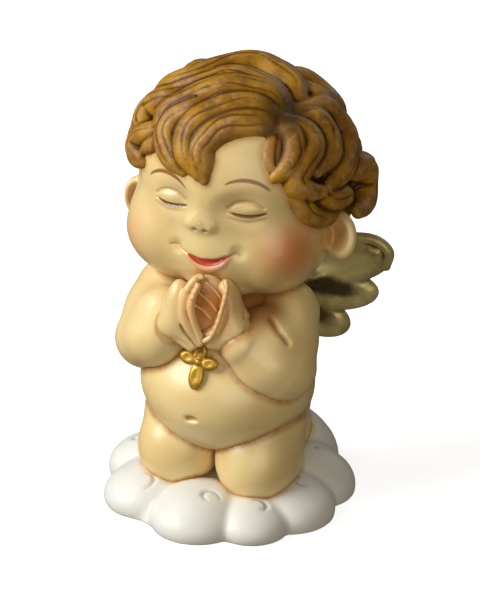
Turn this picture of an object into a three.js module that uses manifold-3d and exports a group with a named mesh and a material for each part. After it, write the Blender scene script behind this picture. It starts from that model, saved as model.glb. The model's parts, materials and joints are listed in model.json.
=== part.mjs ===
// Praying cherub figurine: painted polyresin castings glued together round short steel pegs.
// Millimetres, +Z up. The figure faces -Y, and its own left side is +X.
// The origin is the middle of the underside, where the felt pad meets the shelf.

import * as THREE from 'three';
import { mergeVertices } from 'three/addons/utils/BufferGeometryUtils.js';
import Module from 'manifold-3d';

const wasm = await Module();
wasm.setup();

// ---------------------------------------------------------------- driving dimensions

const glueGap = 0.3; // room for glue between two castings, and round a peg
const facets = { fine: 20, middle: 14, coarse: 10, small: 8, tiny: 5 }; // sides round a form

const cloud = { radius: 24.8, top: 6.4, puffRadius: 8.6, puffHeight: 6.6, domeInset: 3 };
const felt = { inset: 8.8, thickness: 0.9 };
const leg = {
  spread: 7.9, sink: 1, kneeForward: 4.2, thighRadius: 7.8, thighLength: 6.9,
  shinLength: 17, ankleRadius: 4.6, footLength: 4.6,
};
const torso = {
  halfWidth: 16.2, halfDepth: 15.2, bellyHalfHeight: 12.8, bellyForward: 2.4, tuck: 1.8, seatRadius: 8.4,
  chestHalfWidth: 13.4, chestHalfDepth: 12.2, chestHalfHeight: 12, chestRise: 11,
};
const arm = { shoulderRadius: 6.1, elbowRadius: 6, elbowForward: 5, wristRadius: 3.9, shoulderRise: 5.2 };
const hand = { height: 13.4, width: 5.2, drop: 3.2, fingerRadius: 1.25, fingers: 4 };
const head = {
  halfWidth: 19.2, halfDepth: 18.4, halfHeight: 19.2, nest: 4, setBack: 5.2, turn: 2,
  cheekRadius: 9.6, cheekSpread: 9.4, earHalfHeight: 5, noseRadius: 1.9,
};
const hair = { thickness: 2.8, lockRadius: 3, rise: 1.1 };
const wing = { span: 19.6, spread: 8, featherHalfWidth: 4.9, featherHalfThickness: 1.9, rootRadius: 3 };
const pendant = { armLength: 3.7, petalHalfWidth: 1.75, halfThickness: 0.75, lean: 22, tuck: 0.4 };
const neckPeg = { radius: 1.8, length: 12 };
const wingPeg = { radius: 0.9, length: 6 };
const kneePeg = { radius: 1.2, length: 6 };

// ---------------------------------------------------------------- places worked out from them

const kneeZ = cloud.top - leg.sink;
const belly = [0, -torso.bellyForward, cloud.top + leg.thighLength + torso.bellyHalfHeight - torso.tuck];
const chest = [0, -0.4, belly[2] + torso.chestRise];
const torsoTop = chest[2] + torso.chestHalfHeight;
const bellyFront = belly[1] - torso.halfDepth;
const headAt = [0, head.setBack, torsoTop + head.halfHeight - head.nest];
const shoulderZ = chest[2] + arm.shoulderRise;
const handAt = [0, bellyFront + 2.4, torsoTop - hand.drop];
const wingRoot = [4.6, chest[1] + torso.chestHalfDepth - 0.4, chest[2] + 3.4];
const sides = { left: 1, right: -1 };

// ---------------------------------------------------------------- tools for solids

const degrees = THREE.MathUtils.degToRad;
const farOff = 10 * cloud.radius;

/** A closed three.js geometry as a solid that can be joined and cut. */
function toSolid(geometry) {
  const bare = geometry.index ? geometry.toNonIndexed() : geometry.clone();
  bare.deleteAttribute('normal');
  bare.deleteAttribute('uv');
  const merged = mergeVertices(bare, 1e-4);
  const corners = merged.index.array;
  const kept = [];
  for (let i = 0; i < corners.length; i += 3) {
    const [a, b, c] = corners.slice(i, i + 3);
    if (a !== b && b !== c && c !== a) kept.push(a, b, c);
  }
  return new wasm.Manifold(new wasm.Mesh({
    numProp: 3,
    vertProperties: merged.attributes.position.array,
    triVerts: new Uint32Array(kept),
  }));
}

/** A solid as a geometry again, for a mesh. */
function toGeometry(solid) {
  const found = solid.getMesh();
  const places = new Float32Array(found.numVert * 3);
  for (let i = 0; i < found.numVert; i += 1) {
    places.set(found.vertProperties.subarray(i * found.numProp, i * found.numProp + 3), i * 3);
  }
  const geometry = new THREE.BufferGeometry();
  geometry.setAttribute('position', new THREE.BufferAttribute(places, 3));
  geometry.setIndex(new THREE.BufferAttribute(found.triVerts, 1));
  geometry.computeVertexNormals();
  return geometry;
}

/** An ellipsoid, tilted by [x, y, z] turns in degrees and then posed. swell adds to every radius. */
function ellipsoid(at, radii, { turn = [0, 0, 0], detail = facets.coarse, swell = 0, pose } = {}) {
  const geometry = new THREE.SphereGeometry(1, detail, Math.round(detail * 0.6));
  geometry.rotateX(Math.PI / 2);
  geometry.scale(...radii.map((radius) => radius + swell));
  geometry.applyMatrix4(new THREE.Matrix4().makeRotationFromEuler(new THREE.Euler(...turn.map(degrees))));
  geometry.translate(...at);
  if (pose) geometry.applyMatrix4(pose);
  return toSolid(geometry);
}

/** A round limb that tapers from one ball to another. */
function limb(from, to, { detail = facets.coarse, swell = 0 } = {}) {
  const along = new THREE.Vector3(...to).sub(new THREE.Vector3(...from));
  const profile = [];
  const arcSteps = Math.max(2, Math.round(detail / 4));
  for (const [height, radius, first] of [[0, from[3] + swell, -90], [along.length(), to[3] + swell, 0]]) {
    for (let i = 0; i <= arcSteps; i += 1) {
      const angle = degrees(first + (i / arcSteps) * 90);
      profile.push(new THREE.Vector2(radius * Math.cos(angle), height + radius * Math.sin(angle)));
    }
  }
  profile[0].x = 0;
  profile[profile.length - 1].x = 0;
  const geometry = new THREE.LatheGeometry(profile, detail);
  const aim = new THREE.Quaternion().setFromUnitVectors(new THREE.Vector3(0, 1, 0), along.normalize());
  geometry.applyQuaternion(aim);
  geometry.translate(...from.slice(0, 3));
  return toSolid(geometry);
}

/** Limbs in a row through [x, y, z, radius] points. */
const chain = (points, options) => joined(points.slice(1).map((end, i) => limb(points[i], end, options)));

/** A soft strand on a smooth curve through [x, y, z, radius] points, with a blunt point at each end. */
function strand(points, { detail = facets.tiny, steps = 6, swell = 0, pose, outward } = {}) {
  const route = new THREE.CatmullRomCurve3(points.map((point) => new THREE.Vector3(...point)));
  const widths = points.map((point) => point[3]);
  const corners = [];
  const faces = [];
  for (let i = 0; i <= steps; i += 1) {
    const share = i / steps;
    const middle = route.getPoint(share);
    const ahead = route.getTangent(share);
    const across = new THREE.Vector3().crossVectors(ahead, outward(middle)).normalize();
    const out = new THREE.Vector3().crossVectors(across, ahead).normalize();
    const place = Math.min(share * (widths.length - 1), widths.length - 1.0001);
    const step = Math.floor(place);
    const radius = THREE.MathUtils.lerp(widths[step], widths[step + 1], place - step) + swell;
    for (let k = 0; k < detail; k += 1) {
      const angle = (2 * Math.PI * k) / detail;
      const corner = middle.clone().addScaledVector(across, radius * Math.cos(angle));
      corners.push(...corner.addScaledVector(out, radius * Math.sin(angle)).toArray());
    }
    for (let k = 0; k < detail && i < steps; k += 1) {
      const [a, b] = [i * detail + k, i * detail + ((k + 1) % detail)];
      faces.push(a, b + detail, b, a, a + detail, b + detail);
    }
  }
  const [start, end] = [route.getPoint(0), route.getPoint(1)];
  start.addScaledVector(route.getTangent(0), -(widths[0] + swell) * 0.7);
  end.addScaledVector(route.getTangent(1), (widths.at(-1) + swell) * 0.7);
  corners.push(...start.toArray(), ...end.toArray());
  const startCorner = (steps + 1) * detail;
  for (let k = 0; k < detail; k += 1) {
    const next = (k + 1) % detail;
    faces.push(startCorner, k, next);
    faces.push(startCorner + 1, steps * detail + next, steps * detail + k);
  }
  const geometry = new THREE.BufferGeometry();
  geometry.setAttribute('position', new THREE.Float32BufferAttribute(corners, 3));
  geometry.setIndex(faces);
  if (pose) geometry.applyMatrix4(pose);
  return toSolid(geometry);
}

/** A straight round peg, or with swell the hole for it. */
function rod(middle, direction, { radius, length, detail = facets.coarse }, swell = 0) {
  const geometry = new THREE.CylinderGeometry(radius + swell, radius + swell, length + 2 * swell, detail);
  const aim = new THREE.Vector3(...direction).normalize();
  geometry.applyQuaternion(new THREE.Quaternion().setFromUnitVectors(new THREE.Vector3(0, 1, 0), aim));
  geometry.translate(...middle);
  return toSolid(geometry);
}

/** Everything between two corners. */
function block(low, high) {
  const size = high.map((value, i) => value - low[i]);
  const geometry = new THREE.BoxGeometry(...size);
  geometry.translate(...low.map((value, i) => value + size[i] / 2));
  return toSolid(geometry);
}

const joined = (parts) => parts.reduce((sum, part) => sum.add(part));
const cutBy = (solid, ...tools) => tools.reduce((left, tool) => left.subtract(tool), solid);
const mirrored = ([x, ...rest], side) => [x * side, ...rest];
const plus = (place, ...offset) => place.map((value, i) => value + offset[i]);

const figurine = new THREE.Group();
figurine.name = 'praying_cherub_figurine';

/** A group that stands at one place in the figurine, turned about the upright. */
function groupAt(name, at, turn = 0) {
  const group = new THREE.Group();
  group.name = name;
  group.position.set(...at);
  group.rotation.z = degrees(turn);
  group.updateMatrix();
  figurine.add(group);
  return group;
}

/** Adds a solid, worked out in the figurine's frame, to a group as a named mesh. */
function addPiece(group, name, solid, material) {
  const geometry = toGeometry(solid);
  geometry.applyMatrix4(group.matrix.clone().invert());
  const mesh = new THREE.Mesh(geometry, material);
  mesh.name = name;
  group.add(mesh);
}

const base = groupAt('base', [0, 0, 0]);
const body = groupAt('body', belly);
const topHalf = groupAt('head_and_hair', headAt, head.turn);
const headPose = topHalf.matrix; // from places measured from the head's middle to the figurine's frame

// ---------------------------------------------------------------- paints and finishes

const finish = (color, roughness, metalness) => new THREE.MeshStandardMaterial({ color, roughness, metalness });
const skin = finish(0xe6cf95, 0.42, 0);
const goldenBrown = finish(0x97661c, 0.5, 0);
const oldGold = finish(0x8f7f45, 0.38, 0.6);
const brightGold = finish(0xd8a83e, 0.35, 0.7);
const white = finish(0xe9e9e4, 0.5, 0);
const greenFelt = finish(0x2f5d3c, 0.95, 0);
const steel = finish(0x9a9c9e, 0.4, 1);

// ---------------------------------------------------------------- head and hair

/** The head without its hair: skull, forehead, cheeks, chin, nose and ears. */
function headForm(swell = 0) {
  const options = { swell, pose: headPose };
  const { cheekRadius: cheek, noseRadius: nose, halfWidth, halfDepth, halfHeight } = head;
  const round = { ...options, detail: facets.middle };
  const pairs = Object.values(sides).flatMap((side) => [
    ellipsoid([side * head.cheekSpread, -8.4, -8.6], [cheek, cheek, cheek - 1], round),
    ellipsoid([side * (halfWidth + 0.4), -0.4, -7.4], [2.2, 3.8, head.earHalfHeight], {
      ...options, detail: facets.small, turn: [-12, side * 14, side * 24],
    }),
  ]);
  return joined([
    ellipsoid([0, 0, 0], [halfWidth, halfDepth, halfHeight], { ...options, detail: facets.fine }),
    ellipsoid([0, -10, -13.4], [7.4, 9.4, 5.4], options),
    ellipsoid([0, -10, -8.6], [11.5, cheek, cheek - 1.4], options),
    ellipsoid([0, -halfDepth + 0.6, -3.4], [nose, nose, nose], { ...options, detail: facets.small }),
    ...pairs,
  ]);
}

/** A place on the hair's surface, from the head's middle. Longitude 0 is the face, 90 the left ear. */
function onHair(longitude, latitude, depth = 0) {
  const [lon, lat] = [degrees(longitude), degrees(latitude)];
  const reach = hair.thickness - depth;
  return [
    (head.halfWidth + reach) * Math.cos(lat) * Math.sin(lon),
    1 - (head.halfDepth + reach) * Math.cos(lat) * Math.cos(lon),
    hair.rise + (head.halfHeight + reach) * Math.sin(lat),
  ];
}

/** The heavy locks as [longitude, latitude] places, all combed away from a parting over the left eye. */
function lockRoutes() {
  const front = [
    [[38, 46], [12, 42], [-5, 32], [-1, 17]], // forelock, inner edge
    [[44, 52], [4, 55], [-20, 40], [-8, 19]], // forelock, outer edge
    [[52, 57], [0, 67], [-34, 48], [-32, 26]],
    [[64, 62], [-40, 80], [-60, 50], [-70, 30]],
    [[-44, 38], [-60, 28], [-72, 12]], // puff over the right temple
    [[42, 44], [47, 32], [36, 18]], // curl over the left temple
    [[50, 46], [58, 30], [50, 14], [64, 2]],
    [[56, 50], [76, 36], [66, 12], [56, -8]],
    [[66, 58], [96, 38], [84, 12], [78, -2]],
    [[86, 62], [112, 38], [106, 8], [100, -14]], // bulge behind the left ear
  ];
  const back = Array.from({ length: 7 }, (_, i) => 128 + i * 22);
  return [...front, ...back.map((lon) => [[lon - 4, 70], [lon + 7, 38], [lon - 5, 8], [lon + 4, -22]])];
}

/** Hair: a thick cap, open over the face, with heavy wavy locks standing proud of it. */
function hairForm(swell = 0) {
  const { halfWidth, halfDepth, halfHeight } = head;
  const capThickness = hair.thickness - 0.6; // the locks stand this much prouder
  const reach = [halfWidth, halfDepth, halfHeight].map((radius) => radius + capThickness);
  const cap = ellipsoid([0, 1, hair.rise], reach, { detail: facets.fine, swell, pose: headPose });
  const opening = { pose: headPose, swell: -swell };
  const face = joined([
    ellipsoid([2, -15, -3], [14.5, 13, 17.5], { ...opening, detail: facets.middle }),
    ellipsoid([0, -8, -halfHeight], [halfWidth + 6, halfDepth, 14], opening),
    ellipsoid([0, 0, -halfHeight - 4], [halfWidth + 6, halfDepth + 8, 9], opening),
  ]);
  const middle = new THREE.Vector3();
  const outward = (place) => place.clone().sub(middle);
  const locks = lockRoutes().map((route) => {
    const points = route.map(([lon, lat], i) => {
      const radius = hair.lockRadius * (i === 0 || i === route.length - 1 ? 0.7 : 1);
      return [...onHair(lon, lat, radius - 1.2), radius];
    });
    return strand(points, { outward, swell, pose: headPose });
  });
  return cutBy(joined([cutBy(cap, face), ...locks]), headForm(glueGap - swell));
}

// ---------------------------------------------------------------- torso and limbs

/** Belly, chest and seat, with no room cut for its neighbours yet. */
function torsoForm(swell = 0) {
  const { halfWidth, halfDepth, bellyHalfHeight, seatRadius } = torso;
  const chestRadii = [torso.chestHalfWidth, torso.chestHalfDepth, torso.chestHalfHeight];
  const seat = Object.values(sides).map((side) => ellipsoid(
    [side * halfWidth * 0.44, halfDepth - 8, belly[2] - 7.2],
    [seatRadius, seatRadius - 0.6, seatRadius - 1],
    { swell },
  ));
  return joined([
    ellipsoid(belly, [halfWidth, halfDepth, bellyHalfHeight], { detail: facets.middle, swell }),
    ellipsoid(chest, chestRadii, { detail: facets.middle, swell }),
    ...seat,
  ]);
}

/** A kneeling leg: upright thigh, shin lying back on the cloud, and foot. */
function legForm(side, swell = 0) {
  const knee = [leg.spread, belly[1] - leg.kneeForward, kneeZ + leg.thighRadius - 0.6];
  const hip = plus(knee, -0.5, 3.2, leg.thighLength);
  const ankle = [leg.spread - 0.4, knee[1] + leg.shinLength, kneeZ + leg.ankleRadius - 0.5];
  const toe = plus(ankle, -0.8, leg.footLength, -leg.ankleRadius * 0.3);
  const thigh = [[...hip, leg.thighRadius - 0.3], [...knee, leg.thighRadius]];
  const foot = [[...ankle, leg.ankleRadius], [...toe, leg.ankleRadius * 0.62]];
  const shin = [[...knee, leg.thighRadius - 1.2], ...foot];
  const flesh = [thigh, shin].map((run) => chain(run.map((point) => mirrored(point, side)), { swell }));
  return cutBy(joined(flesh), block([-farOff, -farOff, -farOff], [farOff, farOff, kneeZ - swell]));
}

/** An arm folded at the elbow: from the shoulder down, then in to the wrist. */
function armForm(side, swell = 0) {
  const tuckedIn = side < 0 ? 1.6 : 0; // the right elbow is held closer to the ribs
  const shoulder = [torso.chestHalfWidth - 0.6, -0.6, shoulderZ, arm.shoulderRadius];
  const elbowAt = [torso.halfWidth - 1 - tuckedIn, belly[1] - arm.elbowForward, chest[2] - 3.4 + tuckedIn];
  const elbow = [...elbowAt, arm.elbowRadius];
  const wrist = [5.2, handAt[1] + 1.8, handAt[2] - 3.9, arm.wristRadius];
  return chain([shoulder, elbow, wrist].map((point) => mirrored(point, side)), { swell });
}

// ---------------------------------------------------------------- hands and cross

/** The right hand's fingers: ribs side by side that part at the tips and meet over the cross. */
function fingersForm(swell = 0) {
  const outward = () => new THREE.Vector3(-1, -1, 0);
  const { width, fingerRadius: radius } = hand;
  const half = hand.height / 2;
  return Array.from({ length: hand.fingers }, (_, i) => {
    const share = i / (hand.fingers - 1); // 0 is the outer finger, 1 the one beside the left hand
    const tip = plus(handAt, -width * 0.45 + 0.9 * share, 1.6 - 2.2 * share, half * (0.55 + 0.35 * share));
    const joint = plus(handAt, -width * (0.92 - 0.5 * share), 1.2 - 2.6 * share, 0.4);
    const knuckle = plus(handAt, -width * (0.66 - 0.4 * share), 0.9 - 1.6 * share, -half * 0.5);
    const heel = plus(handAt, -0.8 + 0.2 * share, 1.1 - 0.4 * share, -half);
    const upper = [[...tip, radius * 0.8], [...joint, radius * 1.05]];
    const lower = [[...knuckle, radius], [...heel, radius * 0.75]];
    return strand([...upper, ...lower], { outward, swell });
  });
}

/** One of the two hands held together: the right is mostly fingers, the left a cupped back. */
function handForm(side, swell = 0) {
  const half = hand.height / 2;
  const palmRadii = [hand.width * 0.42, 2.6, half * 0.92];
  const palm = ellipsoid(plus(handAt, side * hand.width * 0.36, 1.4, -0.6), palmRadii, { swell });
  const cup = ellipsoid(
    plus(handAt, hand.width * 0.42, -0.4, 0.2), [1.5, 2.7, half * 0.98], { turn: [6, 10, 0], swell },
  );
  const shape = side < 0 ? joined([palm, ...fingersForm(swell)]) : joined([palm, cup]);
  const limit = glueGap / 2 - swell;
  const otherSide = side > 0 ? block([-farOff, -farOff, -farOff], [limit, farOff, farOff])
    : block([-limit, -farOff, -farOff], [farOff, farOff, farOff]);
  return cutBy(shape, otherSide);
}

/** How far forward the belly reaches at a height. */
function bellyFrontAt(height) {
  const share = (height - belly[2]) / torso.bellyHalfHeight;
  return belly[1] - torso.halfDepth * Math.sqrt(1 - share * share);
}

/** The cross: four rounded petals round a small centre, tucked under the hands and leaning on the belly. */
function pendantForm() {
  const { armLength, petalHalfWidth, halfThickness, lean, tuck } = pendant;
  const [back, rise] = [Math.sin(degrees(lean)), Math.cos(degrees(lean))];
  const longest = 1.35; // the lower petal beside the others
  const reach = armLength / 2 - 0.1;
  const height = handAt[2] - hand.height / 2 + tuck - 2 * reach * rise;
  const lowest = longest * 2 * reach;
  const forward = bellyFrontAt(height - lowest * rise) - halfThickness + tuck + lowest * back;
  const middle = [0.2, forward, height];
  const petal = (across, up, length, width) => ellipsoid(
    plus(middle, across, up * back, up * rise),
    across ? [length / 2, halfThickness, width] : [width, halfThickness, length / 2],
    { turn: [-lean, 0, 0] },
  );
  return joined([
    petal(0, reach, armLength, petalHalfWidth * 0.9),
    petal(0, -reach * longest, armLength * longest, petalHalfWidth),
    petal(-reach, 0, armLength, petalHalfWidth * 0.85),
    petal(reach, 0, armLength, petalHalfWidth * 0.85),
    ellipsoid(middle, [1.3, halfThickness + 0.1, 1.3], { turn: [-lean, 0, 0], detail: facets.small }),
  ]);
}

// ---------------------------------------------------------------- wings

/** A wing of three rounded, overlapping feathers, spread out and back from its root. */
function wingForm(side) {
  const { span, spread, rootRadius, featherHalfThickness: thin, featherHalfWidth: wide } = wing;
  const back = Math.sin(degrees(spread));
  const feathers = [
    { out: 0.66, up: 6.4, long: 0.44, wide: 1, slope: 14 },
    { out: 0.5, up: -0.4, long: 0.46, wide: 0.86, slope: 2 },
    { out: 0.34, up: -6.4, long: 0.34, wide: 0.78, slope: -16 },
  ];
  return joined([
    limb(
      mirrored([...wingRoot, rootRadius], side),
      mirrored([...plus(wingRoot, span * 0.35, 2 + span * 0.3 * back, 4), rootRadius * 0.8], side),
    ),
    ...feathers.map((feather, tier) => {
      const out = span * feather.out;
      const middle = plus(wingRoot, out, 2.4 + out * back + tier * 0.4, feather.up);
      const radii = [span * feather.long, thin, wide * feather.wide];
      return ellipsoid(mirrored(middle, side), radii, { turn: [0, -side * feather.slope, side * spread] });
    }),
  ]);
}

// ---------------------------------------------------------------- base

/** The cloud: a low dome with puffs round its rim, cut off flat underneath. */
function cloudForm() {
  const domeRadius = cloud.radius - cloud.domeInset;
  const dome = ellipsoid([0, 0, 0], [domeRadius, domeRadius, cloud.top], { detail: facets.fine });
  const puffs = [ // where round the rim, and how big beside the others
    [-88, 1.08], [-52, 0.86], [-20, 1.04], [18, 0.98], [58, 1], [98, 0.9], [138, 1], [180, 0.92], [222, 1.06],
  ].map(([bearing, size]) => {
    const radius = cloud.puffRadius * size;
    const reach = cloud.radius - radius;
    const [x, y] = [reach * Math.cos(degrees(bearing)), reach * Math.sin(degrees(bearing))];
    return ellipsoid([x, y, cloud.puffHeight * 0.2], [radius, radius, cloud.puffHeight * size * 0.8]);
  });
  return cutBy(joined([dome, ...puffs]), block([-farOff, -farOff, -farOff], [farOff, farOff, 0]));
}

// ---------------------------------------------------------------- pegs

const neckRod = (swell) => rod([0, 1, torsoTop - 1.5], [0, 0, 1], neckPeg, swell);
const wingRod = (side, swell) => rod(
  mirrored(plus(wingRoot, -0.2, -0.4, 0), side), [side * 0.35, 1, 0.1], wingPeg, swell,
);
const kneeRod = (side, swell) => rod(
  [side * leg.spread, belly[1] - leg.kneeForward, kneeZ], [0, 0, 1], kneePeg, swell,
);

// ---------------------------------------------------------------- castings, each cut back from those before it

const headRoom = headForm(glueGap);
const hairRoom = hairForm(glueGap);
const torsoRoom = torsoForm(glueGap);
const legRoom = Object.values(sides).flatMap((side) => [legForm(side, glueGap), kneeRod(side, glueGap)]);
const armRoom = Object.values(sides).map((side) => armForm(side, glueGap));
const handRoom = Object.values(sides).map((side) => handForm(side, glueGap));
const feltSize = { radius: cloud.radius - felt.inset, length: felt.thickness, detail: 2 * facets.fine };
const feltRoom = rod([0, 0, 0], [0, 0, 1], { ...feltSize, length: 2 * felt.thickness }, glueGap);

addPiece(base, 'cloud_base', cutBy(cloudForm(), feltRoom, ...legRoom), white);
addPiece(base, 'felt_pad', rod([0, 0, felt.thickness / 2], [0, 0, 1], feltSize), greenFelt);
addPiece(topHalf, 'head', cutBy(headForm(), neckRod(glueGap)), skin);
addPiece(topHalf, 'hair', hairForm(), goldenBrown);
const torsoHoles = [neckRod(glueGap), ...Object.values(sides).map((side) => wingRod(side, glueGap))];
addPiece(body, 'torso', cutBy(torsoForm(), headRoom, ...torsoHoles), skin);
addPiece(body, 'neck_peg', neckRod(0), steel);

for (const [name, side] of Object.entries(sides)) {
  const betweenLegs = side > 0 ? [] : [legForm(1, glueGap)];
  const legSolid = cutBy(legForm(side), torsoRoom, kneeRod(side, glueGap), ...betweenLegs);
  addPiece(base, `${name}_leg`, legSolid, skin);
  addPiece(base, `${name}_knee_peg`, kneeRod(side, 0), steel);
  addPiece(body, `${name}_arm`, cutBy(armForm(side), torsoRoom, headRoom), skin);
  addPiece(body, `${name}_hand`, cutBy(handForm(side), ...armRoom, torsoRoom, headRoom), skin);
  addPiece(body, `${name}_wing`, cutBy(wingForm(side), torsoRoom, hairRoom, wingRod(side, glueGap)), oldGold);
  addPiece(body, `${name}_wing_peg`, wingRod(side, 0), steel);
}

addPiece(body, 'cross_pendant', cutBy(pendantForm(), torsoRoom, ...handRoom, ...armRoom), brightGold);

export default figurine;
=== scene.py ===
import json
import math
import bpy
import numpy as np
import openvdb
from mathutils import Euler, Matrix, Vector

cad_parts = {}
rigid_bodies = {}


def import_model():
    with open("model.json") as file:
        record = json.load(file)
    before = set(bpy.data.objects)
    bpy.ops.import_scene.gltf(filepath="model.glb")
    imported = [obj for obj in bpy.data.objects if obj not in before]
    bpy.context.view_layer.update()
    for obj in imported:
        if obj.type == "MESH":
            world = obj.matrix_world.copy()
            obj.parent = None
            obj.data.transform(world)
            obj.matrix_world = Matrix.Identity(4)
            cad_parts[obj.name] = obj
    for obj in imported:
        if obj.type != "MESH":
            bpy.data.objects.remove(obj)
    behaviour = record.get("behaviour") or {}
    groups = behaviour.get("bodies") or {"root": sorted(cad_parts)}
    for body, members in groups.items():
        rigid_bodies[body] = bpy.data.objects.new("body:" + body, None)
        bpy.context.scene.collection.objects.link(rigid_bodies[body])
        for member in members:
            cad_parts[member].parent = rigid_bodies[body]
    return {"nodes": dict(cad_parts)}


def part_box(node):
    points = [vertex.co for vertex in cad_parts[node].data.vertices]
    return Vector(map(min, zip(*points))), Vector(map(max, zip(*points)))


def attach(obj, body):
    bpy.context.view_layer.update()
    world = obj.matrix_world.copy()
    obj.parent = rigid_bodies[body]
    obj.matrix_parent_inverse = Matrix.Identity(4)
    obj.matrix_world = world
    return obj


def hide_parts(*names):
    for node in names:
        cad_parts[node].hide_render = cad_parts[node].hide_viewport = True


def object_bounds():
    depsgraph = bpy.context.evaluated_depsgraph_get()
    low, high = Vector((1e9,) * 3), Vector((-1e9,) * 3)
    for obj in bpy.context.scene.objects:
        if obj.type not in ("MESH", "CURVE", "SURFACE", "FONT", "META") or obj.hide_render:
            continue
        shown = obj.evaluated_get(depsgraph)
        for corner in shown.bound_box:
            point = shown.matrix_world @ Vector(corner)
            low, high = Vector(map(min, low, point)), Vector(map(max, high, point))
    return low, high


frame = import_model()
cadLow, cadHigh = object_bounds()
print("frame loaded:", len(frame["nodes"]), "nodes")

# Everything is sculpted in millimetres and turned into metres when it becomes a mesh.
# The figure faces -Y, and its own left is +X.
toMetres = 0.001
sculptSettings = {
    "grain": 0.3,      # size of a clay voxel
    "fineGrain": 0.22,  # the same for the face, hands and cross
    "reach": 3.0,                              # how far from a surface the clay still measures
    "seed": 7,
}
dice = np.random.default_rng(sculptSettings["seed"])


def boxOf(node):
    low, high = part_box(node)
    return np.array(low) / toMetres, np.array(high) / toMetres


def spot(node, across, deep, up):  # a place inside a node's box, as shares of its sides
    low, high = boxOf(node)
    return low + (high - low) * np.array([across, deep, up])


# clay: a block of air that forms are pressed into

def newClay(low, high, grain):
    low = np.array(low, float)
    counts = np.ceil((np.array(high, float) - low) / grain).astype(int) + 1
    return {"low": low, "grain": grain, "field": np.full(counts, sculptSettings["reach"], np.float32)}


def window(clay, low, high):
    start = np.floor((low - clay["low"]) / clay["grain"]).astype(int)
    stop = np.ceil((high - clay["low"]) / clay["grain"]).astype(int) + 1
    start = np.clip(start, 0, clay["field"].shape)
    stop = np.clip(stop, start, clay["field"].shape)
    lines = [(clay["low"][i] + clay["grain"] * np.arange(start[i], stop[i])).astype(np.float32) for i in range(3)]
    grid = lines[0][:, None, None], lines[1][None, :, None], lines[2][None, None, :]
    return start, stop, grid


def ball(at, radii, turn=(0, 0, 0)):  # an ellipsoid, turned by degrees about x, y and z
    at = np.array(at, float)
    radii = np.ones(3) * np.array(radii, float)
    axes = np.array(Euler([math.radians(t) for t in turn]).to_matrix())
    half = np.sqrt(((axes * radii) ** 2).sum(axis=1))
    plain = not any(turn)

    def distance(x, y, z):
        gaps = [x - at[0], y - at[1], z - at[2]]
        if not plain:
            gaps = [gaps[0] * axes[0, i] + gaps[1] * axes[1, i] + gaps[2] * axes[2, i] for i in range(3)]
        shares = [(gap / radius) ** 2 for gap, radius in zip(gaps, radii)]
        near = np.sqrt(shares[0] + shares[1] + shares[2])
        steep = np.sqrt(sum(share / radius ** 2 for share, radius in zip(shares, radii)))
        return (near * (near - 1) / np.maximum(steep, 1e-4)).astype(np.float32)

    return [(at - half, at + half, distance)]


def taper(start, end, startRadius, endRadius):  # a straight limb between two round ends
    start, end = np.array(start, float), np.array(end, float)
    along = end - start
    length = max(float(along @ along), 1e-9)
    low = np.minimum(start - startRadius, end - endRadius)
    high = np.maximum(start + startRadius, end + endRadius)

    def distance(x, y, z):
        dx, dy, dz = x - start[0], y - start[1], z - start[2]
        share = np.clip((dx * along[0] + dy * along[1] + dz * along[2]) / length, 0, 1)
        gap = (dx - share * along[0]) ** 2 + (dy - share * along[1]) ** 2 + (dz - share * along[2]) ** 2
        return (np.sqrt(gap) - (startRadius + share * (endRadius - startRadius))).astype(np.float32)

    return [(low, high, distance)]


def smoothPath(points, steps=5):  # a Catmull-Rom curve through [x, y, z, radius] points
    points = np.array(points, float)
    points = np.vstack([2 * points[0] - points[1], points, 2 * points[-1] - points[-2]])
    path = []
    for i in range(1, len(points) - 2):
        a, b, c, d = points[i - 1:i + 3]
        for t in np.arange(steps) / steps:
            path.append(0.5 * (2 * b + (c - a) * t + (2 * a - 5 * b + 4 * c - d) * t ** 2
                               + (3 * b - a - 3 * c + d) * t ** 3))
    path.append(points[-2])
    return np.array(path)


def strand(points, steps=5):
    path = smoothPath(points, steps)
    parts = []
    for a, b in zip(path[:-1], path[1:]):
        parts += taper(a[:3], b[:3], max(a[3], 0.02), max(b[3], 0.02))
    return parts


def measured(clay, parts, margin):
    low = np.min([part[0] for part in parts], axis=0) - margin
    high = np.max([part[1] for part in parts], axis=0) + margin
    start, stop = window(clay, low, high)[:2]
    local = np.full(stop - start, 9.0, np.float32)
    for partLow, partHigh, distance in parts:
        innerStart, innerStop, inner = window(clay, partLow - margin, partHigh + margin)
        if np.any(innerStop <= innerStart):
            continue
        area = tuple(slice(a, b) for a, b in zip(innerStart - start, innerStop - start))
        local[area] = np.minimum(local[area], distance(*inner))
    return tuple(slice(a, b) for a, b in zip(start, stop)), local


def softMin(a, b, soft):
    if soft <= 0:
        return np.minimum(a, b)
    h = np.maximum(soft - np.abs(a - b), 0) / soft
    return np.minimum(a, b) - h * h * soft * 0.25


def add(clay, parts, soft=0.0):
    area, local = measured(clay, parts, soft + 4 * clay["grain"])
    clay["field"][area] = softMin(clay["field"][area], local, soft)


def carve(clay, parts, soft=0.0):
    area, local = measured(clay, parts, soft + 4 * clay["grain"])
    clay["field"][area] = -softMin(-clay["field"][area], local, soft)


def pressed(tool, clay, form, side=1, turn=(0, 0, 0)):  # adds or carves a form given as middle, radii and softness
    (x, y, z), radii, soft = form
    tool(clay, ball((x * side, y, z), radii, turn), soft)


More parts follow.
